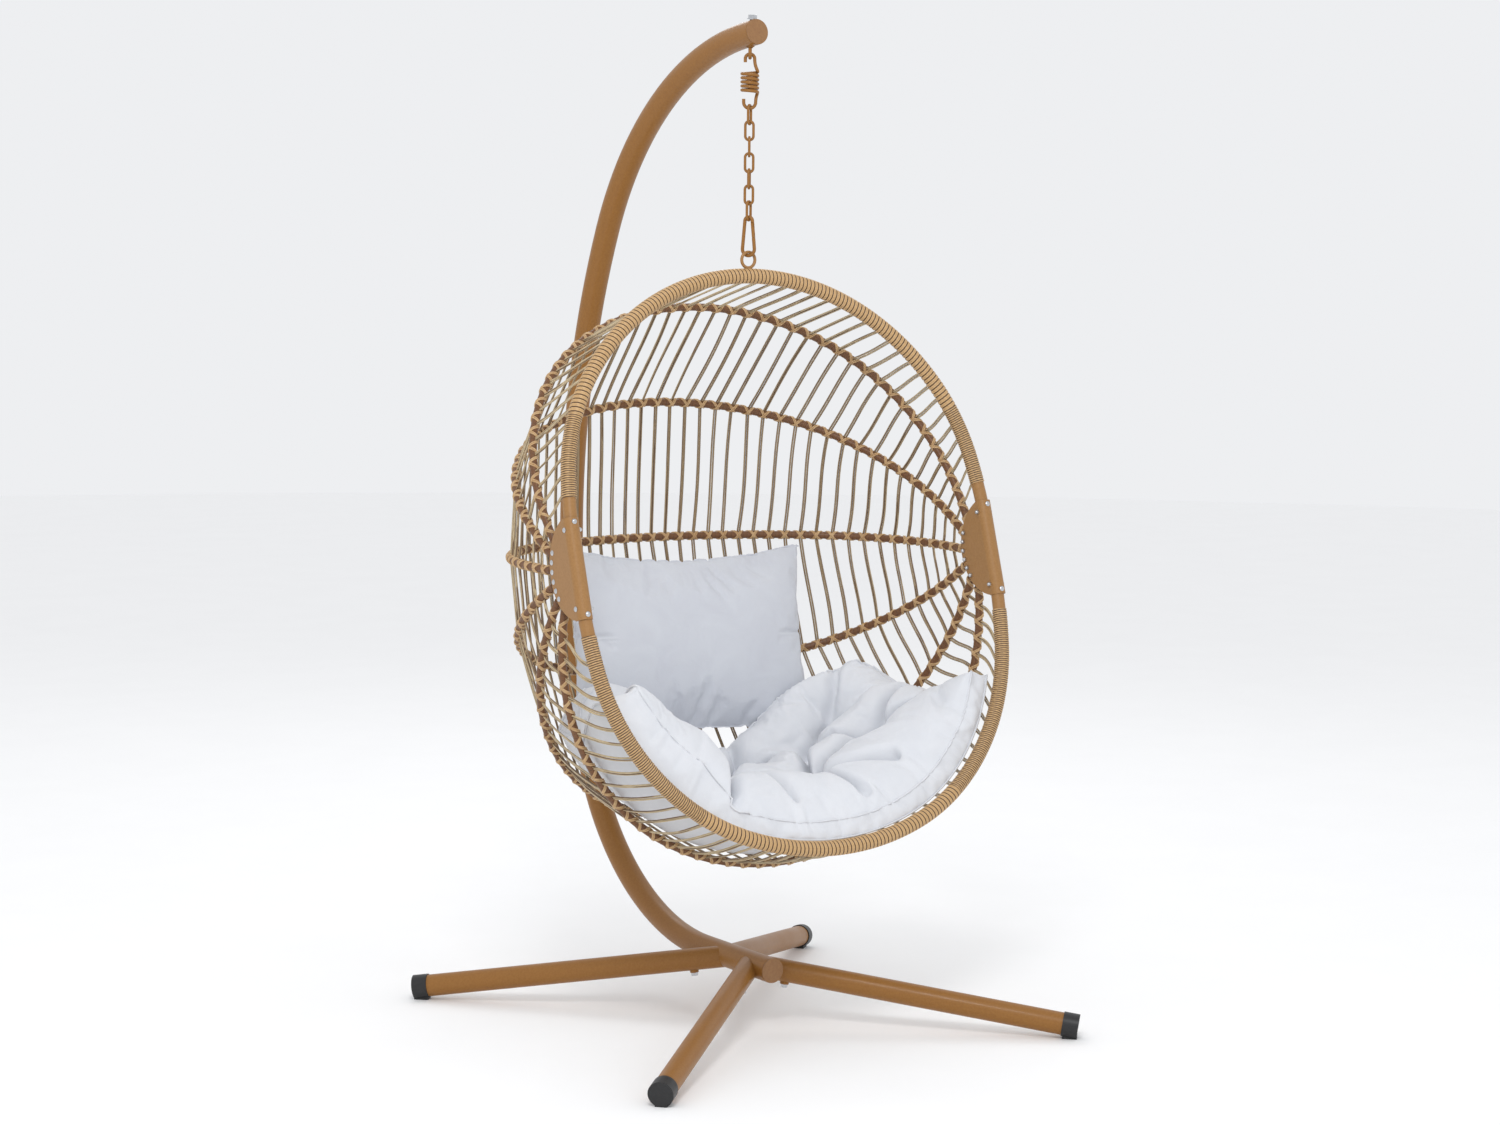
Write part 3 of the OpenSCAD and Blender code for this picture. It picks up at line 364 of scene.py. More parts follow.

# ---------------------------------------------------------------- rim winding
# Thin round strands of synthetic cane are wound round each rim tube two by two. Towards the
# brackets they run over and under seven lengthwise strips, so that raised beads stand
# between gaps. The gaps are painted near-black as shade, and the shade fades to none on the beads.
TUBE_R = 12.5
WIND_PITCH = 4.25
WIND_DEPTH = 1.7
WIND_STRIPS = 7
WIND_FINE = {0: 160, 7: 400}
WIND_LIFT = 0.3
RIDGE_SHARE = 0.82
BAND_SHARE = 0.84
BEAD_SHARE = 0.62
GROOVE_DEPTH = 0.45
GROOVE_SHARE = 0.14


def tidy_normals(bm):
    bmesh.ops.recalc_face_normals(bm, faces=bm.faces)


def sleeve(name, k, reach, rows, cols, radius):
    """A wound sleeve on bow k: a flat grid rolled round it; radius(s, angle) gives its height and its
    painted shade.
    """
    bm = bmesh.new()
    bm.loops.layers.uv.new("UVMap")
    bmesh.ops.create_grid(bm, x_segments=cols, y_segments=rows, size=0.5, calc_uvs=True)
    me = bpy.data.meshes.new(name)
    bm.to_mesh(me)
    flat = places_of(me) + 0.5
    s, a = (2 * flat[:, 1] - 1) * reach, flat[:, 0] * 2 * math.pi
    height, unshaded = radius(s, a)
    place_at(me, around(k, s, a, height))
    me.attributes.new("unshaded", "FLOAT", "POINT").data.foreach_set("value", np.clip(unshaded, 0, 1))
    bm.clear()
    bm.from_mesh(me)
    bmesh.ops.remove_doubles(bm, verts=bm.verts, dist=1e-5)
    bmesh.ops.holes_fill(bm, edges=[e for e in bm.edges if e.is_boundary], sides=0)
    tidy_normals(bm)
    bm.to_mesh(me)
    bm.free()
    return new_piece(name, me)


def places_of(me):
    co = np.zeros(len(me.vertices) * 3)
    me.vertices.foreach_get("co", co)
    return co.reshape(-1, 3)


def place_at(me, mm):
    """Moves a mesh's vertices to places in mm."""
    me.vertices.foreach_set("co", (np.asarray(mm) / 1000).ravel())
    me.update()


def around(k, s, angle, radius):
    """Places in mm on a tube round bow k; angle 0 faces the inside of the basket."""
    b = bows[k]
    p, q = bow_point(b, s - 0.5), bow_point(b, s + 0.5)
    t = q - p
    t /= np.linalg.norm(t, axis=-1)[..., None]
    n = np.array([0.0, -math.sin(rad(b["slope"])), math.cos(rad(b["slope"]))])
    out = np.cross(t, n)
    ray = np.cos(angle)[..., None] * out + np.sin(angle)[..., None] * n
    return (p + q) / 2 + np.asarray(radius)[..., None] * ray


def build_cane(t, gi, go):
    """Streaks along a cane by its UV, a drifting tone, and painted shade: the gap colour where a per-vertex
    attribute is low.
    """
    uv = node(t, "ShaderNodeUVMap", uv_map="UVMap")
    co = node(t, "ShaderNodeTexCoord")
    unshaded = node(t, "ShaderNodeAttribute", attribute_name="unshaded")
    along = node(t, "ShaderNodeVectorMath", [(0, uv.outputs["UV"]), (1, gi.outputs["Stretch"])],
                 operation="MULTIPLY")
    drift = node(t, "ShaderNodeVectorMath", [(0, co.outputs["Object"])], operation="SCALE")
    drift.inputs["Scale"].default_value = 14.0
    both = node(t, "ShaderNodeVectorMath", [(0, along.outputs["Vector"]), (1, drift.outputs["Vector"])],
                operation="ADD")
    noise = node(t, "ShaderNodeTexNoise", [("Vector", both.outputs["Vector"])],
                 Detail=3.0, Roughness=0.6, Scale=1.0)
    mask = spread(t, noise.outputs["Fac"], 0.32, 0.68)
    # painted shade mask: low values give the dark gap colour
    depth = spread(t, unshaded.outputs["Fac"], 0.3, 0.8)
    cane = blend(t, mask, gi.outputs["Light"], gi.outputs["Dark"])
    t.links.new(blend(t, depth, gi.outputs["Gap"], cane), go.inputs["Color"])
    t.links.new(spread(t, noise.outputs["Fac"], 0.3, 0.7, 0.34, 0.52), go.inputs["Roughness"])
    bump = node(t, "ShaderNodeBump", [("Height", noise.outputs["Fac"])], Distance=0.0003, Strength=0.25)
    t.links.new(bump.outputs["Normal"], go.inputs["Normal"])


cane_group = shade_group("Cane", [("Light", "NodeSocketColor", None), ("Dark", "NodeSocketColor", None),
                                  ("Gap", "NodeSocketColor", None), ("Stretch", "NodeSocketVector", None)],
                         [("Color", "NodeSocketColor"), ("Roughness", "NodeSocketFloat"),
                          ("Normal", "NodeSocketVector")], build_cane)


def cane(name, light, dark, gap_shade, stretch):
    m, t, p = plain_surface(name)
    g = node(t, "ShaderNodeGroup", node_tree=cane_group)
    for k, v in (("Light", light), ("Dark", dark), ("Gap", gap_shade)):
        g.inputs[k].default_value = v + (1,)
    g.inputs["Stretch"].default_value = stretch
    for out, to in (("Color", "Base Color"), ("Roughness", "Roughness"), ("Normal", "Normal")):
        t.links.new(g.outputs[out], p.inputs[to])
    return m


def put(ob, material):
    """Dresses a piece of the basket and fixes it there."""
    ob.data.materials.clear()
    ob.data.materials.append(material)
    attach(ob, "basket")


def wound(s, a, reach, fine_end):
    """Radius and painted shade of the winding: double turns, and near its ends finer ones over and under
    strips; the grooves are painted dark as shade.
    """
    fine = np.clip((np.abs(s) - reach + fine_end) / WIND_PITCH, 0, 1)
    turn = s / WIND_PITCH + a / (2 * math.pi)
    strip = a / (2 * math.pi) * WIND_STRIPS
    single = 2 * (turn - np.floor(turn)) - 1
    side = np.abs(2 * (strip - np.floor(strip)) - 1)
    bead = np.clip((BEAD_SHARE - side) / 0.2, 0, 1) * ((np.floor(turn) + np.floor(strip)) % 2 == 0)
    ridge = np.sqrt(np.clip(1 - (single / RIDGE_SHARE) ** 2, 0, 1))
    turn = s / (2 * WIND_PITCH) + a / (2 * math.pi)
    double = np.abs(2 * (turn - np.floor(turn)) - 1)
    band = np.sqrt(np.clip(1 - (double / BAND_SHARE) ** 4, 0, 1))
    band = band * (1 - GROOVE_DEPTH * np.exp(-(double / GROOVE_SHARE) ** 2))
    height = np.maximum(0.8 * ridge, bead * (0.55 + 0.45 * ridge)) * fine + band * (1 - fine)
    # painted shade: strongest in the grooves between turns, none on the raised beads
    unshaded = (0.1 + 0.68 * ridge + 0.22 * bead * ridge) * fine + (0.05 + 0.95 * band) * (1 - fine)
    return TUBE_R + WIND_LIFT + WIND_DEPTH * height, unshaded


TURN_ROWS = 5
WIND_COLUMNS = 49
# The near-black gap colour is painted shade in the winding's grooves.
tan_cane = cane("tan cane", (0.66, 0.44, 0.215), (0.46, 0.265, 0.105), gap_shade=(0.05, 0.02, 0.007),
                stretch=(900, 3.0, 1))
wind_reach = {0: bow_length(bows[0]) + RIM_RUN_UP - BRACKET_LEN / 2 - BARE_UP,
              7: bow_length(bows[7]) + RIM_RUN_LOW - BRACKET_LEN / 2 - BARE_LOW}
for k, name in ((0, "upper"), (7, "lower")):
    rows = int(2 * wind_reach[k] / WIND_PITCH * TURN_ROWS)
    ob = sleeve("rim_winding_" + name, k, wind_reach[k], rows, WIND_COLUMNS,
                lambda s, a: wound(s, a, wind_reach[k], WIND_FINE[k]))
    put(ob, tan_cane)
    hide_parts("rim_wrap_" + name)

# ---------------------------------------------------------------- rib braids
# Each rod is wound with flat brown cane, and at every strand place two pairs of lighter
# cords cross over it, on the inside of the basket and again on the outside.
PAIRS = 44
CORE_R = 6.8
CORE_DEPTH = 0.6
CORE_FLAT = 0.72
CORE_PITCH = 8.5
CROSS_R = 7.7
CROSS_CORD_R = 1.65
CROSS_LIFT = 0.6
SHIFT = [0.9, 0.1, -0.6, -0.7, -0.2, 0.4, 0.9, 0.2]
REACH = 0.92
RIM_SHARE = {0: 0.935, 7: 0.9}
STEP = 2 * REACH / (PAIRS - 1)


def pair_share(k, j):
    """Share of bow k at which strand pair j meets it."""
    f = -REACH + np.asarray(j, float) * STEP
    return f * RIM_SHARE.get(k, 1) + SHIFT[k] * STEP * np.clip(1 - f * f, 0, None)


def flat_wound(s, a):
    """Radius and painted shade of flat cane wound side by side round a rod; the edges where the strips meet
    are painted dark as shade.
    """
    turn = s / CORE_PITCH - a / (2 * math.pi)
    edge = np.abs(2 * (turn - np.floor(turn)) - 1)
    h = 1 - np.clip((edge - CORE_FLAT) / (1 - CORE_FLAT), 0, 1) ** 2
    return CORE_R + CORE_DEPTH * h, 0.25 + 0.75 * h


CORE_ROWS = 7
CORE_COLUMNS = 16
CROSS_STEPS = 15
# The brown cane's gap colour is painted shade where the flat strips meet.
brown_cane = cane("brown cane", (0.20, 0.085, 0.028), (0.115, 0.044, 0.013), gap_shade=(0.02, 0.008, 0.003),
                  stretch=(300, 4.0, 1))
braid_cord = cane("braid cord", (0.62, 0.43, 0.23), (0.42, 0.245, 0.105), gap_shade=(0.1, 0.04, 0.015),
                  stretch=(260, 2.0, 1))
for i, c in enumerate("abcdef"):
    half = bow_length(bows[i + 1])
    reach = half - RIB_BARE
    rows = int(2 * reach / CORE_PITCH * CORE_ROWS)
    ob = sleeve("rib_core_" + c, i + 1, reach, rows, CORE_COLUMNS, flat_wound)
    put(ob, brown_cane)
    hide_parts("rib_wrap_" + c)

    lines = []
    j = np.arange(-6, PAIRS + 5, 1 / CROSS_STEPS)
    for hand in (-1, 1):
        for side in (-1, 1):
            s = pair_share(i + 1, j) * half + side * CROSS_CORD_R * 1.05
            keep = np.abs(s) < reach - 2
            s, turn = s[keep], hand * 2 * math.pi * j[keep]
            lines.append(around(i + 1, s, turn, CROSS_R + CROSS_LIFT * hand * np.cos(turn)))
    put(cords("rib_crossing_" + c, lines, CROSS_CORD_R), braid_cord)

# ---------------------------------------------------------------- strand pairs
# Two thin beige cords lie side by side from bow to bow, each pair slightly bent by hand and
# bulging a little; the side that faces the middle of the basket (FOCUS) is painted a tone
# browner as shade, and the sides that touch are painted darker as shade between the cords.
CORD_R = 1.85
CORD_SINK = 2.5
CORD_STEPS = 13
PAIR_GAP = 2.1
FOCUS = np.array([0, AXIS_Y - 110, 800])
RIM_ROPE_R = 13.9
RIB_ROPE_R = 7.5
S_BEND = [0.04, 0.03, 0.03, 0.03, 0.05, 0.08, 0.1]
INNER_SHADE = [0.15, 0.5, 0.5, 0.5, 0.5, 0.4, 0.15]
BULGE = [0, 0, 0, 0, 2, 4, 8]
END_PLAY = 0.02
SWAY = 0.01
TWIST_START, TWIST_ON = 0.2, 0.3
by_hand = np.random.default_rng(7)
beige_cord = cane("beige cord", (0.60, 0.49, 0.31), (0.42, 0.31, 0.175), gap_shade=(0.15, 0.085, 0.04),
                  stretch=(9, 5.0, 1))
for k in range(7):
    rope_r = [RIM_ROPE_R if b in (0, 7) else RIB_ROPE_R for b in (k, k + 1)]
    paths, partner = [], []
    for j in range(PAIRS):
        play = by_hand.normal(0, END_PLAY, 2)
        ends = [pair_share(k, j + play[0]) * bow_length(bows[k]),
                pair_share(k + 1, j + play[1]) * bow_length(bows[k + 1])]
        p, q = bow_point(bows[k], ends[0]), bow_point(bows[k + 1], ends[1])
        along = bow_point(bows[k], ends[0] + 2) - p
        along /= np.linalg.norm(along)
        length = np.linalg.norm(q - p)
        t = np.linspace(0, 1, CORD_STEPS)[:, None]
        lean = np.dot(q - p, along)
        run = (q - p) / length
        line = (p + run * (rope_r[0] - CORD_SINK)) * (1 - t) + (q - run * (rope_r[1] - CORD_SINK)) * t
        bend = -lean * S_BEND[k] * np.sin(2 * math.pi * t)
        bend = bend + by_hand.normal(0, SWAY) * length * np.sin(math.pi * t)
        twist = by_hand.normal(0, TWIST_START) + by_hand.normal(0, TWIST_ON) * t
        lift = np.cross(along, run)
        away = (p + q) / 2 - FOCUS
        away /= np.linalg.norm(away)
        line = line + away * BULGE[k] * np.sin(math.pi * t) + along * bend
        for side in (-1, 1):
            paths.append(line + side * PAIR_GAP * (np.cos(twist) * along + np.sin(twist) * lift))
            partner.append(-side * along)
    ob = cords("cords_%d" % (k + 1), paths, CORD_R)
    outward = np.zeros(len(ob.data.vertices) * 3)
    ob.data.vertices.foreach_get("normal", outward)
    outward = outward.reshape(-1, 3)
    inward = FOCUS - places_of(ob.data) * 1000
    facing = (outward * inward).sum(1) / np.linalg.norm(inward, axis=1)
    touching = (outward * np.repeat(partner, len(outward) // len(partner), axis=0)).sum(1)
    # Painted shade: darker on the side that faces FOCUS, and darker still where a cord faces its partner.
    tone = 1 - INNER_SHADE[k] * np.clip(1.5 * facing + 0.4, 0, 1)
    ob.data.attributes["unshaded"].data.foreach_set("value", tone * (1 - 0.8 * np.clip(touching * 2 - 0.9, 0, 1)))
    put(ob, beige_cord)
    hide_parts("weave_%d" % (k + 1))

# ---------------------------------------------------------------- seat cushion
# A square pad of white cotton with a boxed and piped border, laid into the bottom of the
# basket. Stitched tufts pull its fullness in, and a deep fold parts off the raised left
# side. Its places are given as a bay and a share of the bow.
SEAT_K = 5.72
SEAT_BAND = 34
SEAT_FOLD = 50
SEAT_CLIMB = (0.42, 0.07)
SEAT_FRONT = 1.25
SEAT_T = 104
SEAT_GAP = 17
SEAT_RISE = 78
SEAT_GRID = (72, 130, 5)
SEAT_BACK = 1.42
SEAT_BACK_DIP = 0.42
SEAT_HALF = 0.64
SEAT_FLARE = 0.2
SEAT_OFF = 0.02
SEAT_PULL = 0.268
SEAT_CORNER_PULL = 0.16
SEAT_PIPING_R = 2.0
SEAT_EDGE_HOLD = 0.35
STITCH_R = 0.045
TUFT_DEPTH, TUFT_WIDTH = 0.55, 0.24
CREASE_DEPTH, CREASE_WIDTH = 0.4, 0.07
FOLD_DEPTH, FOLD_WIDTH = 0.5, 0.09
TUFTS = [(5.65, 0.46), (4.95, 0.4), (5.25, 0.27), (5.2, 0.06), (6.1, 0.12), (5.7, -0.16), (6.2, -0.28),
         (5.2, -0.3), (5.75, -0.48)]
BETWEEN_TUFTS = [(0, 2), (1, 2), (2, 3), (3, 5), (4, 5), (5, 6), (5, 7), (6, 8), (7, 8), (2, 4), (0, 4),
                 (3, 7)]
TO_THE_EDGE = [(0, (5.95, 0.66)), (0, (5.3, 0.62)), (1, (4.45, 0.5)), (3, (4.5, 0.1)), (4, (6.85, 0.16)),
               (4, (6.7, 0.36)), (6, (6.85, -0.3)), (7, (4.5, -0.36)), (8, (5.8, -0.64)), (5, (6.8, -0.08))]
CREASES = [(TUFTS[one], TUFTS[other]) for one, other in BETWEEN_TUFTS]
CREASES += [(TUFTS[one], end) for one, end in TO_THE_EDGE]
FOLDS = [((5.9, -0.27), (6.98, -0.29))]


def seat_place(a, b):
    """Bay and share of a place on the pad; a runs from the back (-1) to the front, b left to right."""
    cut = SEAT_PULL + SEAT_CORNER_PULL * ((a > 0) & (b < 0))
    c = a * np.sqrt(1 - cut * b * b)
    s = b * np.sqrt(1 - cut * a * a)
    back = SEAT_BACK - SEAT_BACK_DIP * np.exp(-(s / 0.42) ** 2)
    front = np.clip(c, 0, 1)
    climb = 1 + np.where(s < 0, *SEAT_CLIMB) * front
    bay = SEAT_K + np.where(c > 0, SEAT_FRONT, back) * c
    return bay, s * (SEAT_HALF + SEAT_FLARE * front ** 2) * climb + SEAT_OFF


def from_line(k, f, p, q):
    """Distance in bays from a line between two places, with shares weighted to match."""
    w = 3.4
    ax, ay, bx, by = p[0], p[1] * w, q[0], q[1] * w
    length2 = (bx - ax) ** 2 + (by - ay) ** 2 + 1e-9
    t = np.clip(((k - ax) * (bx - ax) + (f * w - ay) * (by - ay)) / length2, 0, 1)
    return np.hypot(k - ax - t * (bx - ax), f * w - ay - t * (by - ay))


def pressed(k, f, lines, width):
    """1 on any of the lines and fading to 0 away from them."""
    return np.max([np.exp(-(from_line(k, f, *line) / width) ** 2) for line in lines], axis=0)


def seat_stand(k, f):
    """How far in mm the lower sheet stands off the strands; the back edge rises to the pillow."""
    rise = np.clip((5.2 - k) / 0.8, 0, 1) ** 2 * (1 - 0.35 * f)
    return SEAT_GAP + SEAT_RISE * rise * (0.35 + 0.65 * np.clip(np.abs(f) / 0.27, 0, 1))


def seat_left(k, f):
    """1 on the left side, where the cushion folds up against the basket, and 0 elsewhere."""
    return np.clip((-0.24 - f) / 0.2, 0, 1) * np.clip((k - 4.8) / 1.2, 0, 1)


def seat_place_mm(a, b, w):
    """Place on the pad: w is 1 on its upper sheet and -1 on its lower one."""
    k, f = seat_place(a, b)
    full = np.clip((1 - np.abs(a) ** 3.4) * (1 - np.abs(b) ** 3.4), 0, 1) ** 0.55
    dent = pressed(k, f, [(t, t) for t in TUFTS], TUFT_WIDTH)
    crease = pressed(k, f, CREASES, CREASE_WIDTH)
    fold = pressed(k, f, FOLDS, FOLD_WIDTH)
    left = seat_left(k, f)
    body = SEAT_T * full * (1 - TUFT_DEPTH * dent - CREASE_DEPTH * crease * (1 - dent))
    body = body * (1 - 0.1 * left) * (1 - FOLD_DEPTH * fold) * (1 - 0.35 * np.clip((5 - k) / 0.5, 0, 1))
    top = SEAT_BAND * (1 - 0.3 * crease - 0.4 * fold) + SEAT_FOLD * left + body
    q = skin_point(k, f)
    n = FOCUS - q
    n /= np.linalg.norm(n, axis=-1)[..., None]
    return q + n * (seat_stand(k, f) + top * (w + 1) / 2)[..., None]


def pad(name, grid, shape):
    """A closed pad: a cube cut into a grid and shaped; returns it and its vertices' places on the cube."""
    bm = bmesh.new()
    bmesh.ops.create_cube(bm, size=2)
    for axis, count in ((1, grid[0]), (0, grid[1]), (2, grid[2])):
        if count > 1:
            across = [e for e in bm.edges if abs(e.verts[0].co[axis] - e.verts[1].co[axis]) > 1e-6]
            bmesh.ops.subdivide_edges(bm, edges=across, cuts=count - 1, use_grid_fill=True)
    me = bpy.data.meshes.new(name)
    bm.to_mesh(me)
    cube = np.round(places_of(me), 6)
    b, a, w = cube.T
    place_at(me, shape(a, b, w))
    bm.clear()
    bm.from_mesh(me)
    tidy_normals(bm)
    bm.to_mesh(me)
    bm.free()
    return new_piece(name, me), a, b, w


def edge_loop(a, b, w, level):
    """Vertices on the pad's edge at one level, in order round it."""
    on = np.nonzero((np.maximum(np.abs(a), np.abs(b)) > 0.999) & (np.abs(w - level) < 0.01))[0]
    return on[np.argsort(np.arctan2(a[on], b[on]))]


def blow_up(ob, pins, pressure, slack, cap, frames=20):
    """Fills a pad like a bag of cloth; pins holds each vertex's weight, cap the longest travel in m."""
    start = places_of(ob.data)
    held = ob.vertex_groups.new(name="pins")
    for v in np.unique(np.round(pins, 2)):
        if v > 0:
            held.add(np.nonzero(np.round(pins, 2) == v)[0].tolist(), float(v), "REPLACE")
    cloth = ob.modifiers.new("Cloth", "CLOTH")
    cloth.settings.quality = 5
    cloth.settings.mass = 0.25
    cloth.settings.tension_stiffness = 12
    cloth.settings.compression_stiffness = 12
    cloth.settings.shear_stiffness = 6
    cloth.settings.bending_stiffness = 0.12
    cloth.settings.use_pressure = True
    cloth.settings.uniform_pressure_force = pressure
    cloth.settings.effector_weights.gravity = 0
    cloth.settings.vertex_group_mass = "pins"
    cloth.settings.shrink_min = -slack
    cloth.collision_settings.use_collision = False
    cloth.point_cache.frame_start = 1
    cloth.point_cache.frame_end = frames
    for f in range(1, frames + 1):
        bpy.context.scene.frame_set(f)
    settled = ob.evaluated_get(bpy.context.evaluated_depsgraph_get())
    end = places_of(settled.to_mesh())
    settled.to_mesh_clear()
    ob.modifiers.remove(cloth)
    ob.vertex_groups.clear()
    bpy.context.scene.frame_set(1)
    travel = end - start
    far = np.linalg.norm(travel, axis=1)
    travel *= np.minimum(1, cap / np.maximum(far, 1e-9))[:, None]
    place_at(ob.data, (start + travel) * 1000)
    return places_of(ob.data) * 1000


def soften(ob):
    """One level of subdivision, applied."""
    sub = ob.modifiers.new("Subdivision", "SUBSURF")
    sub.levels = 1
    sub.render_levels = 1
    settled = ob.evaluated_get(bpy.context.evaluated_depsgraph_get())
    me = bpy.data.meshes.new_from_object(settled)
    ob.modifiers.remove(sub)
    old, ob.data = ob.data, me
    bpy.data.meshes.remove(old)
    me.polygons.foreach_set("use_smooth", [True] * len(me.polygons))


def build_cotton(t, gi, go):
    """Fine plain weave and soft puckers as a relief, and faint unevenness of tone."""
    co = node(t, "ShaderNodeTexCoord")
    fine = node(t, "ShaderNodeTexNoise", [("Vector", co.outputs["Object"])], Scale=900.0, Detail=2.0)
    soft = node(t, "ShaderNodeTexNoise", [("Vector", co.outputs["Object"])],
                Scale=13.0, Detail=5.0, Roughness=0.6, Distortion=0.7)
    weave = node(t, "ShaderNodeBump", [("Height", fine.outputs["Fac"])], Distance=0.0006, Strength=0.3)
    pucker = node(t, "ShaderNodeBump", [("Height", soft.outputs["Fac"]), ("Strength", gi.outputs["Relief"]),
                                        ("Normal", weave.outputs["Normal"])], Distance=0.006)
    t.links.new(pucker.outputs["Normal"], go.inputs["Normal"])
    t.links.new(blend(t, spread(t, soft.outputs["Fac"], 0.3, 0.7), gi.outputs["Shade"], gi.outputs["Tone"]),
                go.inputs["Color"])


cotton_group = shade_group("Cotton", [("Relief", "NodeSocketFloat", 0.35), ("Tone", "NodeSocketColor", None),
                                      ("Shade", "NodeSocketColor", None)],
                           [("Color", "NodeSocketColor"), ("Normal", "NodeSocketVector")], build_cotton)


def cotton(name, tone, shade, relief):
    m, t, p = plain_surface(name)
    p.inputs["Roughness"].default_value = 0.85
    p.inputs["Sheen Weight"].default_value = 0.12
    g = node(t, "ShaderNodeGroup", node_tree=cotton_group)
    g.inputs["Tone"].default_value = tone + (1,)
    g.inputs["Shade"].default_value = shade + (1,)
    g.inputs["Relief"].default_value = relief
    t.links.new(g.outputs["Color"], p.inputs["Base Color"])
    t.links.new(g.outputs["Normal"], p.inputs["Normal"])
    return m


white_cotton = cotton("white cotton", (0.73, 0.745, 0.78), (0.68, 0.70, 0.74), relief=0.4)
seat, a, b, w = pad("seat_pad", SEAT_GRID, seat_place_mm)
k, f = seat_place(a, b)
pins = np.where(w < -0.999, 1.0, 0.0)
for t in TUFTS:
    pins[(w > 0.999) & (from_line(k, f, t, t) < STITCH_R)] = 1
top_edge, low_edge = edge_loop(a, b, w, 1), edge_loop(a, b, w, -1)
pins[top_edge] = SEAT_EDGE_HOLD
places = blow_up(seat, pins, pressure=3.2, slack=0.07, cap=0.026)
soften(seat)
put(seat, white_cotton)
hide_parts("seat_cushion")
piping = cords("seat_pad_seam", [places[top_edge], places[low_edge]], SEAT_PIPING_R, closed=True)
put(piping, white_cotton)

# ---------------------------------------------------------------- back pillow
# Two sheets of the seat's white cotton, painted a tone greyer as shade, sewn together at the
# edge and filled, leaning on the back of the basket; its lower corners are thin, and its sides bend
# forwards.
PILLOW_W = 550
PILLOW_H = 370
PILLOW_T = 108
PILLOW_BOW = 30
PILLOW_WAIST = 0.07
PILLOW_SAG = (0.13, 0.06)
PILLOW_EDGE = 1.5
PILLOW_SEAM_R = 1.8
PILLOW_EDGE_HOLD = 0.3
PILLOW_PLACE = (-12, AXIS_Y + 212, 716)
PILLOW_LEAN = 76
PILLOW_ROLL = -2
PILLOW_GRID = (76, 92, 2)


def pillow_place_mm(a, b, w):
    """Place on the pillow: a runs from its foot (-1) to its top, b left to right, w back to front."""
    low = np.clip(-a, 0, None)
    c = np.clip((1 - np.abs(a) ** 2.4) * (1 - np.abs(b) ** 2.4), 0, 1) ** (0.55 + 0.2 * low)
    c = c * np.where(w > 0, (1 - 0.3 * low ** 2) * (1 - 0.7 * low ** 1.3 * b * b), 1)
    sag = np.where(a > 0, *PILLOW_SAG) * (1 - b * b)
    p = np.stack([PILLOW_W / 2 * b * (1 - PILLOW_WAIST * (1 - a * a)), PILLOW_H / 2 * a * (1 - sag),
                  w * (PILLOW_T / 2 * c + PILLOW_EDGE) + PILLOW_BOW * b * b], -1)
    turn = np.array(Matrix.Rotation(rad(PILLOW_LEAN), 3, "X") @ Matrix.Rotation(rad(PILLOW_ROLL), 3, "Z"))
    return p @ turn.T + np.array(PILLOW_PLACE)


# Painted shade: the pillow's cotton is the seat's white painted greyer.
shaded_cotton = cotton("shaded white cotton", (0.62, 0.645, 0.695), (0.58, 0.60, 0.655), relief=0.4)
pillow, a, b, w = pad("pillow", PILLOW_GRID, pillow_place_mm)
middle = edge_loop(a, b, w, 0)
pins = np.zeros(len(a))
pins[middle] = PILLOW_EDGE_HOLD
places = blow_up(pillow, pins, pressure=2.6, slack=0.06, cap=0.014)
soften(pillow)
put(pillow, shaded_cotton)
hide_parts("back_pillow")
put(cords("pillow_seam", [places[middle]], PILLOW_SEAM_R, closed=True), shaded_cotton)

# ---------------------------------------------------------------- studio
# A round pale floor under an even pale surround, and two soft round lamps: the key from the
# front left, and a weaker one from behind on the right.
FLOOR_R = 14


def lamp(name, place, target, size, power):
    light = bpy.data.lights.new(name, "AREA")
    light.shape = "DISK"
    light.size = size
    light.energy = power
    ob = bpy.data.objects.new(name, light)
    bpy.context.scene.collection.objects.link(ob)
    ob.location = place
    ob.rotation_euler = (Vector(target) - Vector(place)).to_track_quat("-Z", "Y").to_euler()


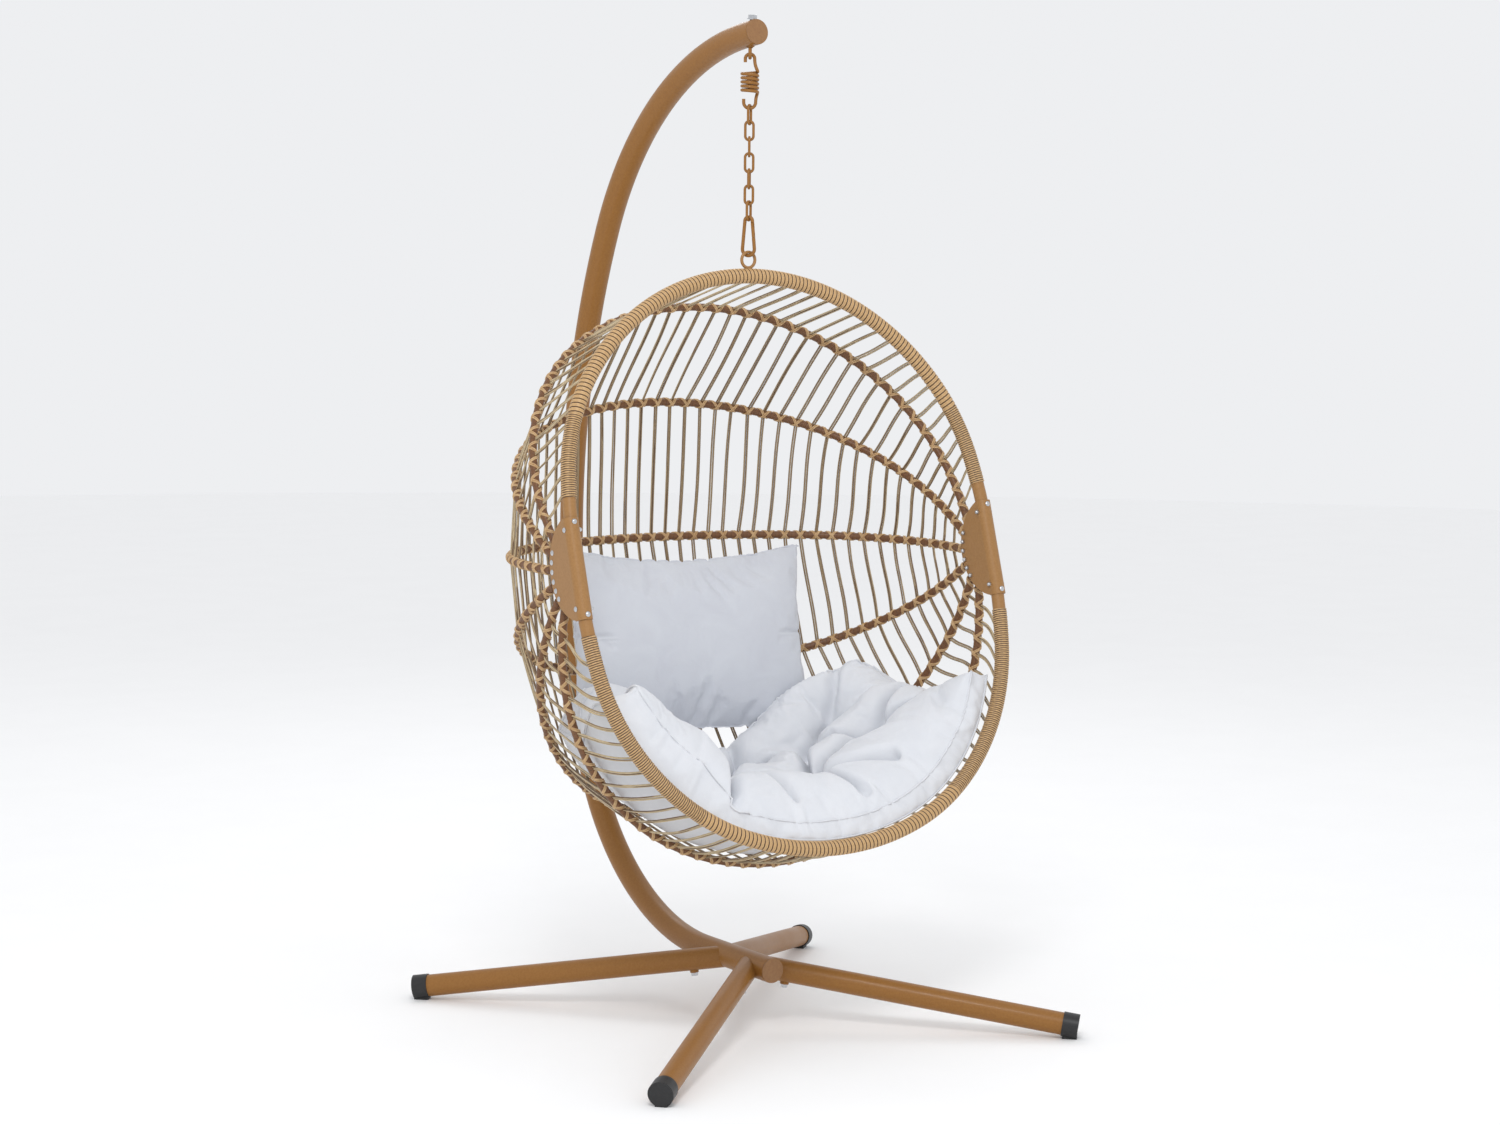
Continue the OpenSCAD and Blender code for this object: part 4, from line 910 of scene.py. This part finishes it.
bm = bmesh.new()
bmesh.ops.create_circle(bm, cap_ends=True, segments=96, radius=FLOOR_R)
ground = bpy.data.meshes.new("floor")
bm.to_mesh(ground)
bm.free()
floor = bpy.data.objects.new("floor", ground)
bpy.context.scene.collection.objects.link(floor)
pale = coated("pale floor", (0.98, 0.98, 0.98), (0.97, 0.97, 0.97), smooth=0.85, rough=0.95, scale=4,
              relief=0.0, shine=0.1)
ground.materials.append(pale)

world = bpy.context.scene.world or bpy.data.worlds.new("World")
bpy.context.scene.world = world
world.use_nodes = True
world.node_tree.nodes["Background"].inputs["Color"].default_value = (0.97, 0.98, 1.0, 1)
world.node_tree.nodes["Background"].inputs["Strength"].default_value = 0.88
lamp("key", (-1.9, -2.7, 3.6), target=(0, 0, 0.7), size=1.2, power=56)
lamp("back", (1.6, 2.6, 3.6), target=(0, 0, 0.9), size=2.0, power=20)
bpy.context.scene.view_settings.view_transform = "Standard"

# ---------------------------------------------------------------- camera
# Seen from the left of the front, a little above the cushions. The place is in mm, the angles
# are in degrees, and the lens is given in pixels of the 1500-pixel-wide frame.
CAM_PLACE = (-3167.8, AXIS_Y - 4863.3, 1440)
CAM_AZ, CAM_EL, CAM_ROLL = -33.16, 5.43, 0.50
LENS_PX = 3053
FRAME_W = 1500
SENSOR_W = 36
az, el, roll = rad(CAM_AZ), rad(CAM_EL), rad(CAM_ROLL)
look = Vector((-math.sin(az) * math.cos(el), math.cos(az) * math.cos(el), -math.sin(el)))
right = Vector((math.cos(az), math.sin(az), 0))
up = right.cross(look)
r2 = math.cos(roll) * right + math.sin(roll) * up
u2 = math.cos(roll) * up - math.sin(roll) * right
cam_data = bpy.data.cameras.new("camera")
cam_data.sensor_fit = "HORIZONTAL"
cam_data.sensor_width = SENSOR_W
cam_data.lens = SENSOR_W * LENS_PX / FRAME_W
camera = bpy.data.objects.new("camera", cam_data)
bpy.context.scene.collection.objects.link(camera)
turn = Matrix((r2, u2, -look)).transposed()
camera.matrix_world = Matrix.Translation(Vector(CAM_PLACE) / 1000) @ turn.to_4x4()
bpy.context.scene.camera = camera
